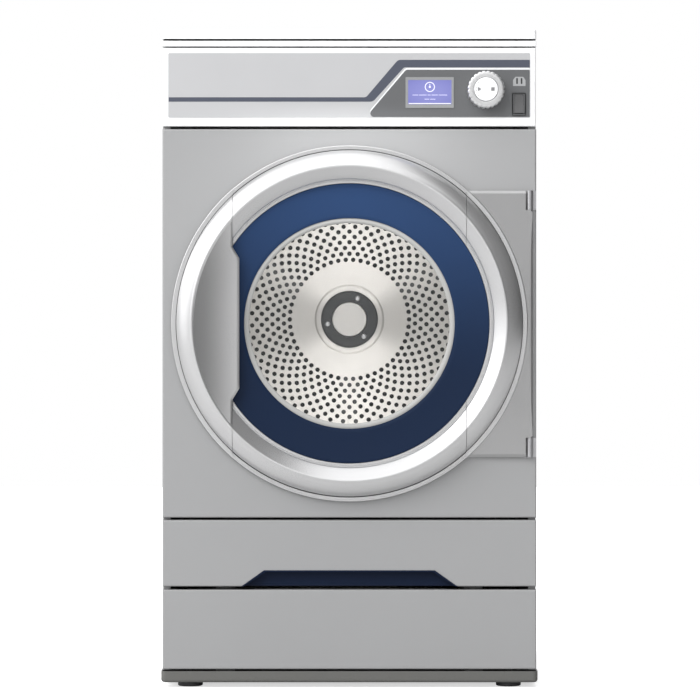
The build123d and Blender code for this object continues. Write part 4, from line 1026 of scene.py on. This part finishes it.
knob = {
    "lobes": 24,
    "lobeDepth": 1.3 * mm,
    "lobeFrom": 25.5 * mm,      # radius where the lobes begin
    "lobeReach": 3.5 * mm,
    "steps": 288,
}
knobX, knobZ = boxMiddle("knob")
knobFront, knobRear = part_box("knob")[0][1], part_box("knob")[1][1]
rear = (knobRear - knobFront) / mm
knobOutline = section(
    knobFront, (29.5, rear), (29.5, 4.2), ((29.3, 2.8), (28.2, 1.0), (26.2, 0.1), 7), (22.6, 0.1), (22.2, 0.6),
    (21.4, 0.6), (21.0, 0.1), ((20.4, 0.1), (19.8, 0.4), (19.55, 1.2), 4), (19.55, rear - 7.8),
    (24.1, rear - 7.8), (24.1, rear))
knobMesh = turnedMesh("knobRibbed", knobOutline, (knobX, knobZ), knob["steps"])
for vert in knobMesh.vertices:
    offX, offZ = vert.co.x - knobX, vert.co.z - knobZ
    radius = math.hypot(offX, offZ)
    notch = (0.5 + 0.5 * math.cos(knob["lobes"] * math.atan2(offZ, offX))) ** 3
    share = min(max((radius - knob["lobeFrom"]) / knob["lobeReach"], 0), 1)
    shrink = 1 - knob["lobeDepth"] * notch * share / max(radius, mm)
    vert.co.x, vert.co.z = knobX + offX * shrink, knobZ + offZ * shrink
knobPiece = linkPiece("knobRibbed", knobMesh, "knob_silver", "knob", smoothBelow=40)
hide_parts("knob")

buttonFront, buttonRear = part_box("start_button")[0][1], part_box("start_button")[1][1]
rear = (buttonRear - buttonFront) / mm
buttonOutline = section(
    buttonFront, (0, 0.9), (10, 0.6), (16.2, 0.1), ((17.2, 0.05), (18.5, 0.5), (19, 1.8), 6), (19, 22), (6, 22),
    (6, rear), (0, rear))
buttonPiece = linkTurned("pushCap", buttonOutline, (knobX, knobZ), 96, "knob_silver", "start_button",
                         finishes["white_enamel"])
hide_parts("start_button")


def buttonSigns():
    # a start triangle at the left, a stop square at the right and a row of dots round the rim
    sides = (buttonFront + 0.75 * mm, buttonFront)
    corners = [(knobX + x * mm, knobZ + z * mm) for x, z in ((-13.2, -3.2), (-7.8, 0), (-13.2, 3.2))]
    square = roundedOutline(knobX + 7.8 * mm, knobZ - 2.8 * mm, knobX + 13.4 * mm, knobZ + 2.8 * mm, 0.3 * mm, 3)
    parts = [prismMesh("start", corners, *sides), prismMesh("stop", square, *sides)]
    for turn in range(-40, 41, 16):
        for side in (0, 180):
            angle = math.radians(turn + side)
            x, z = knobX + 15.6 * mm * math.cos(angle), knobZ + 15.6 * mm * math.sin(angle)
            parts.append(prismMesh("dot", circleOutline(x, z, 0.55 * mm, 12), *sides))
    return joinMeshes("buttonSigns", parts)


linkPiece("buttonSigns", buttonSigns(), "knob_silver", "start_button", inks["inkGrey"])
print("fascia and knob made")


# repeated pieces, laid out with Geometry Nodes

def scatter(name, source, values, layout, slotName, body, smoothBelow=35):
    # copies of a small mesh on points placed from their index; values are the modifier's named inputs
    tree = bpy.data.node_groups.new(name, "GeometryNodeTree")
    for way in ("OUTPUT", "INPUT"):
        tree.interface.new_socket("Geometry", in_out=way, socket_type="NodeSocketGeometry")
    identifiers = {}
    for key, value in values.items():
        kind = "NodeSocketInt" if isinstance(value, int) else "NodeSocketFloat"
        identifiers[key] = tree.interface.new_socket(key, in_out="INPUT", socket_type=kind).identifier
    bench = NodeBench(tree)
    stem, *inputs = bench.node("NodeGroupInput", out=("Geometry",) + tuple(values))
    named = dict(zip(values, inputs))
    place, turn = layout(bench, bench.node("GeometryNodeInputIndex"), named)
    points = bench.node("GeometryNodePoints", {"Count": named["count"], "Position": place})
    copies = bench.node("GeometryNodeInstanceOnPoints", {"Points": points, "Instance": stem, "Rotation": turn})
    real = bench.node("GeometryNodeRealizeInstances", {0: copies})
    painted = bench.node("GeometryNodeSetMaterial", {"Geometry": real, "Material": finishes[slotName]})
    bench.node("NodeGroupOutput", {"Geometry": painted}, out=None)
    holder = linkObject(name + "Layout", source)
    modifier = holder.modifiers.new("layout", "NODES")
    modifier.node_group = tree
    for key, value in values.items():
        modifier[identifiers[key]] = value
    mesh = bakedMesh(holder)
    mesh.name = name
    return linkPiece(name, mesh, slotName, body, smoothBelow=smoothBelow)


unturned = (0.0, 0.0, 0.0)


def placeAt(bench, x, y, z):
    return bench.node("ShaderNodeCombineXYZ", {"X": x, "Y": y, "Z": z})


def aroundAxis(bench, radius, angle, y):
    return placeAt(bench, radius * bench.maths("COSINE", angle) + drumX, y,
                   radius * bench.maths("SINE", angle) + drumZ)


def ringLayout(bench, index, named):
    # rows of holes on rings whose spacing closes up outwards; odd rows stand half a pitch round
    row = bench.maths("FLOOR", index / named["perRow"])
    column = index - row * named["perRow"]
    radius = named["firstRow"] + row * named["rowStep"] - row * row * named["rowShrink"]
    angle = (column + bench.maths("MODULO", row, 2.0) * 0.5) * (2 * math.pi) / named["perRow"]
    return aroundAxis(bench, radius, angle, named["faceY"]), unturned


# pressed lip round one hole, highest at its middle
rimMesh = turnedMesh("rim", section(0, (3.9, 0.2), (3.9, 0.02), (4.15, -0.13), (4.6, -0.03), (4.7, 0.2)), (0, 0), 18)
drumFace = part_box("drum_back")[1][1] - 1.5 * mm
scatter("drumHoleRims", rimMesh, {
    "count": 650, "perRow": 50, "firstRow": 105.4 * mm, "rowStep": 10.9 * mm, "rowShrink": 0.19 * mm,
    "faceY": drumFace,
}, ringLayout, "drum_steel", "drum", smoothBelow=60)


def screwMesh(radius, height, recess):
    # domed head with a six-sided recess, its foot at y = 0 and its crown towards -y
    outline = [(0, 0), (radius, 0), (radius, -height * 0.35)]
    outline += arcThrough((radius * 0.94, -height * 0.62), (radius * 0.74, -height * 0.9),
                          (recess * 1.12, -height), 5)
    outline += [(recess, -height * 0.98), (recess * 0.92, -height * 0.4), (0, -height * 0.34)]
    mesh = turnedMesh("screw", outline, (0, 0), 36)
    for vert in mesh.vertices:
        reach = math.hypot(vert.co.x, vert.co.z)
        if 0.1 * recess < reach < recess * 1.05:
            angle = math.atan2(vert.co.z, vert.co.x)
            corner = math.cos(math.pi / 6) / math.cos((angle % (math.pi / 3)) - math.pi / 6)
            vert.co.x, vert.co.z = vert.co.x * corner, vert.co.z * corner
    return mesh


def hubLayout(bench, index, named):
    angle = named["firstTurn"] + index * named["turnStep"] + index * index * named["turnBend"]
    return aroundAxis(bench, named["circle"], angle, named["faceY"]), unturned


hubRingFront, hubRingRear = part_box("hub_ring")[0][1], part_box("hub_ring")[1][1]
hubHeads = scatter("hubScrewHeads", screwMesh(4.6 * mm, 2.7 * mm, 2.3 * mm), {
    "count": 3, "circle": 39.5 * mm, "firstTurn": math.radians(69), "turnStep": math.radians(125.5),
    "turnBend": math.radians(-2.5), "faceY": hubRingFront,
}, hubLayout, "zinc", "drum")
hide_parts("hub_screws")


def twoColumns(bench, index, halfSpacing):
    # row of a point, and its x at the left or the right
    row = bench.maths("FLOOR", index / 2.0)
    return row, ((index - row * 2.0) * 2.0 - 1.0) * halfSpacing


def rearLayout(bench, index, named):
    # screws up the rear edges
    row, x = twoColumns(bench, index, named["halfWidth"])
    return placeAt(bench, x, named["faceY"], named["lowest"] + row * named["pitch"]), (0.0, 0.0, math.pi)


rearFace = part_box("rear_panel")[1][1]
rearHeads = scatter("rearScrewHeads", screwMesh(4.2 * mm, 2.3 * mm, 2.0 * mm), {
    "count": 12, "halfWidth": 291.0 * mm, "lowest": 60.0 * mm, "pitch": 180.0 * mm, "faceY": rearFace,
}, rearLayout, "zinc", "cabinet")
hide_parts("panel_screws")

louvre = {
    "half": 86 * mm,
    "reach": 4.2 * mm,
    "rise": 10.5 * mm,
    "foot": 5 * mm,             # how far the lip's lower end hangs below its slot's middle
    "wall": 0.9 * mm,
    "steps": 6,
    "columns": 24,
}


def hoodMesh():
    # pressed louvre: a lip that leans out over its slot, open at the bottom
    steps, columns = louvre["steps"], louvre["columns"]
    layers = []
    for inset in (0.0, louvre["wall"]):
        layers.append([])
        for column in range(columns + 1):
            share = column / columns * 2 - 1
            swell = (1 - abs(share) ** 8) ** 0.5
            for step in range(steps + 1):
                depth = max(louvre["reach"] * math.sin(math.pi / 2 * step / steps) * swell - inset, 0.0)
                z = louvre["rise"] * (1 - step / steps) ** 1.3 - louvre["foot"] - inset * 0.2
                layers[-1].append((louvre["half"] * share, depth, z))
    return shellMesh("hood", *layers, steps + 1, closeEnds=False)


def louvreLayout(bench, index, named):
    row, x = twoColumns(bench, index, named["halfSpacing"])
    z = (row - (named["rows"] - 1.0) * 0.5) * named["pitch"] + drumZ
    return placeAt(bench, x, named["faceY"], z), unturned


scatter("rearLouvres", hoodMesh(), {
    "count": 18, "rows": 9, "halfSpacing": 130.0 * mm, "pitch": 26.0 * mm, "faceY": rearFace,
}, louvreLayout, "galvanised", "cabinet")

gauze = {
    "wireRadius": 0.22 * mm,
    "overlap": 0.2 * mm,        # half the height between the two layers
    "margin": 6 * mm,
    "pitch": 2.2 * mm,
    "across": 150,
    "along": 195,
}
gauzeLow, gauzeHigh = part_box("lint_screen")
gauzeY, gauzeZ = ((gauzeLow[axis] + gauzeHigh[axis]) / 2 for axis in (1, 2))


def wireMesh(axis):
    # six-sided wire along x (axis 0) or y (axis 1)
    half, thick = (gauzeHigh[axis] - gauzeLow[axis] - gauze["margin"]) / 2, gauze["wireRadius"]
    outline = [(thick * math.cos(a), thick * math.sin(a)) for a in (i * math.pi / 3 for i in range(6))]
    points = [((end, u, w) if axis == 0 else (u, end, w)) for end in (-half, half) for u, w in outline]
    faces = [(i, (i + 1) % 6, 6 + (i + 1) % 6, 6 + i) for i in range(6)]
    return meshOf("wire", points, faces + [(0, 1, 2, 3, 4, 5), (6, 7, 8, 9, 10, 11)])


def gauzeOffset(index, named):
    return (index - (named["count"] - 1.0) * 0.5) * named["pitch"]


def gauzeAcross(bench, index, named):
    return placeAt(bench, 0.0, gauzeOffset(index, named) + gauzeY, gauzeZ + gauze["overlap"]), unturned


def gauzeAlong(bench, index, named):
    return placeAt(bench, gauzeOffset(index, named), gauzeY, gauzeZ - gauze["overlap"]), unturned


scatter("gauzeAcross", wireMesh(0), {"count": gauze["across"], "pitch": gauze["pitch"]},
        gauzeAcross, "mesh_steel", "lint_drawer")
scatter("gauzeAlong", wireMesh(1), {"count": gauze["along"], "pitch": gauze["pitch"]},
        gauzeAlong, "mesh_steel", "lint_drawer")
print("repeated pieces made")


# drum hub

hubCentre = (drumX, drumZ)
rear = (hubRingRear - hubRingFront) / mm
hubRingOutline = section(
    hubRingFront, (31, rear), (31, 1.6), ((31.3, 0.7), (31.9, 0.2), (32.8, 0), 4), (45.4, 0),
    ((46.6, 0.2), (49.2, 2.0), (50.3, 5.0), 7), (50.3, rear))
hubDark = mouldedPlastic("hubDark", (0.050, 0.050, 0.051), 0.34, 1500.0, 0.00001, 0.22)
hubRing = linkTurned("hubRing", hubRingOutline, hubCentre, 128, "dark_metal", "drum", hubDark)
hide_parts("hub_ring")

# turned cap over the shaft's end, with a fine groove near its edge
hubFaceOutline = section(
    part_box("drum_shaft")[0][1], (0, -0.05), (24.6, -0.05), (25.0, 0.3), (25.6, 0.3), (26.0, -0.05), (29.4, -0.05),
    (30.6, 1.0), (30.6, 1.8), (0, 1.8))
linkTurned("hubFace", hubFaceOutline, hubCentre, 96, "cast_alloy", "drum")

# raised collar pressed into the drum back round the hub
haloOutline = section(
    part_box("drum_back")[0][1], (50.5, 1.2), (50.5, 0), ((56.0, -0.1), (59.2, 0.5), (61.5, 1.4), 7), (61.5, 1.7))
linkTurned("hubHalo", haloOutline, hubCentre, 128, "drum_steel", "drum")
print("hub made")
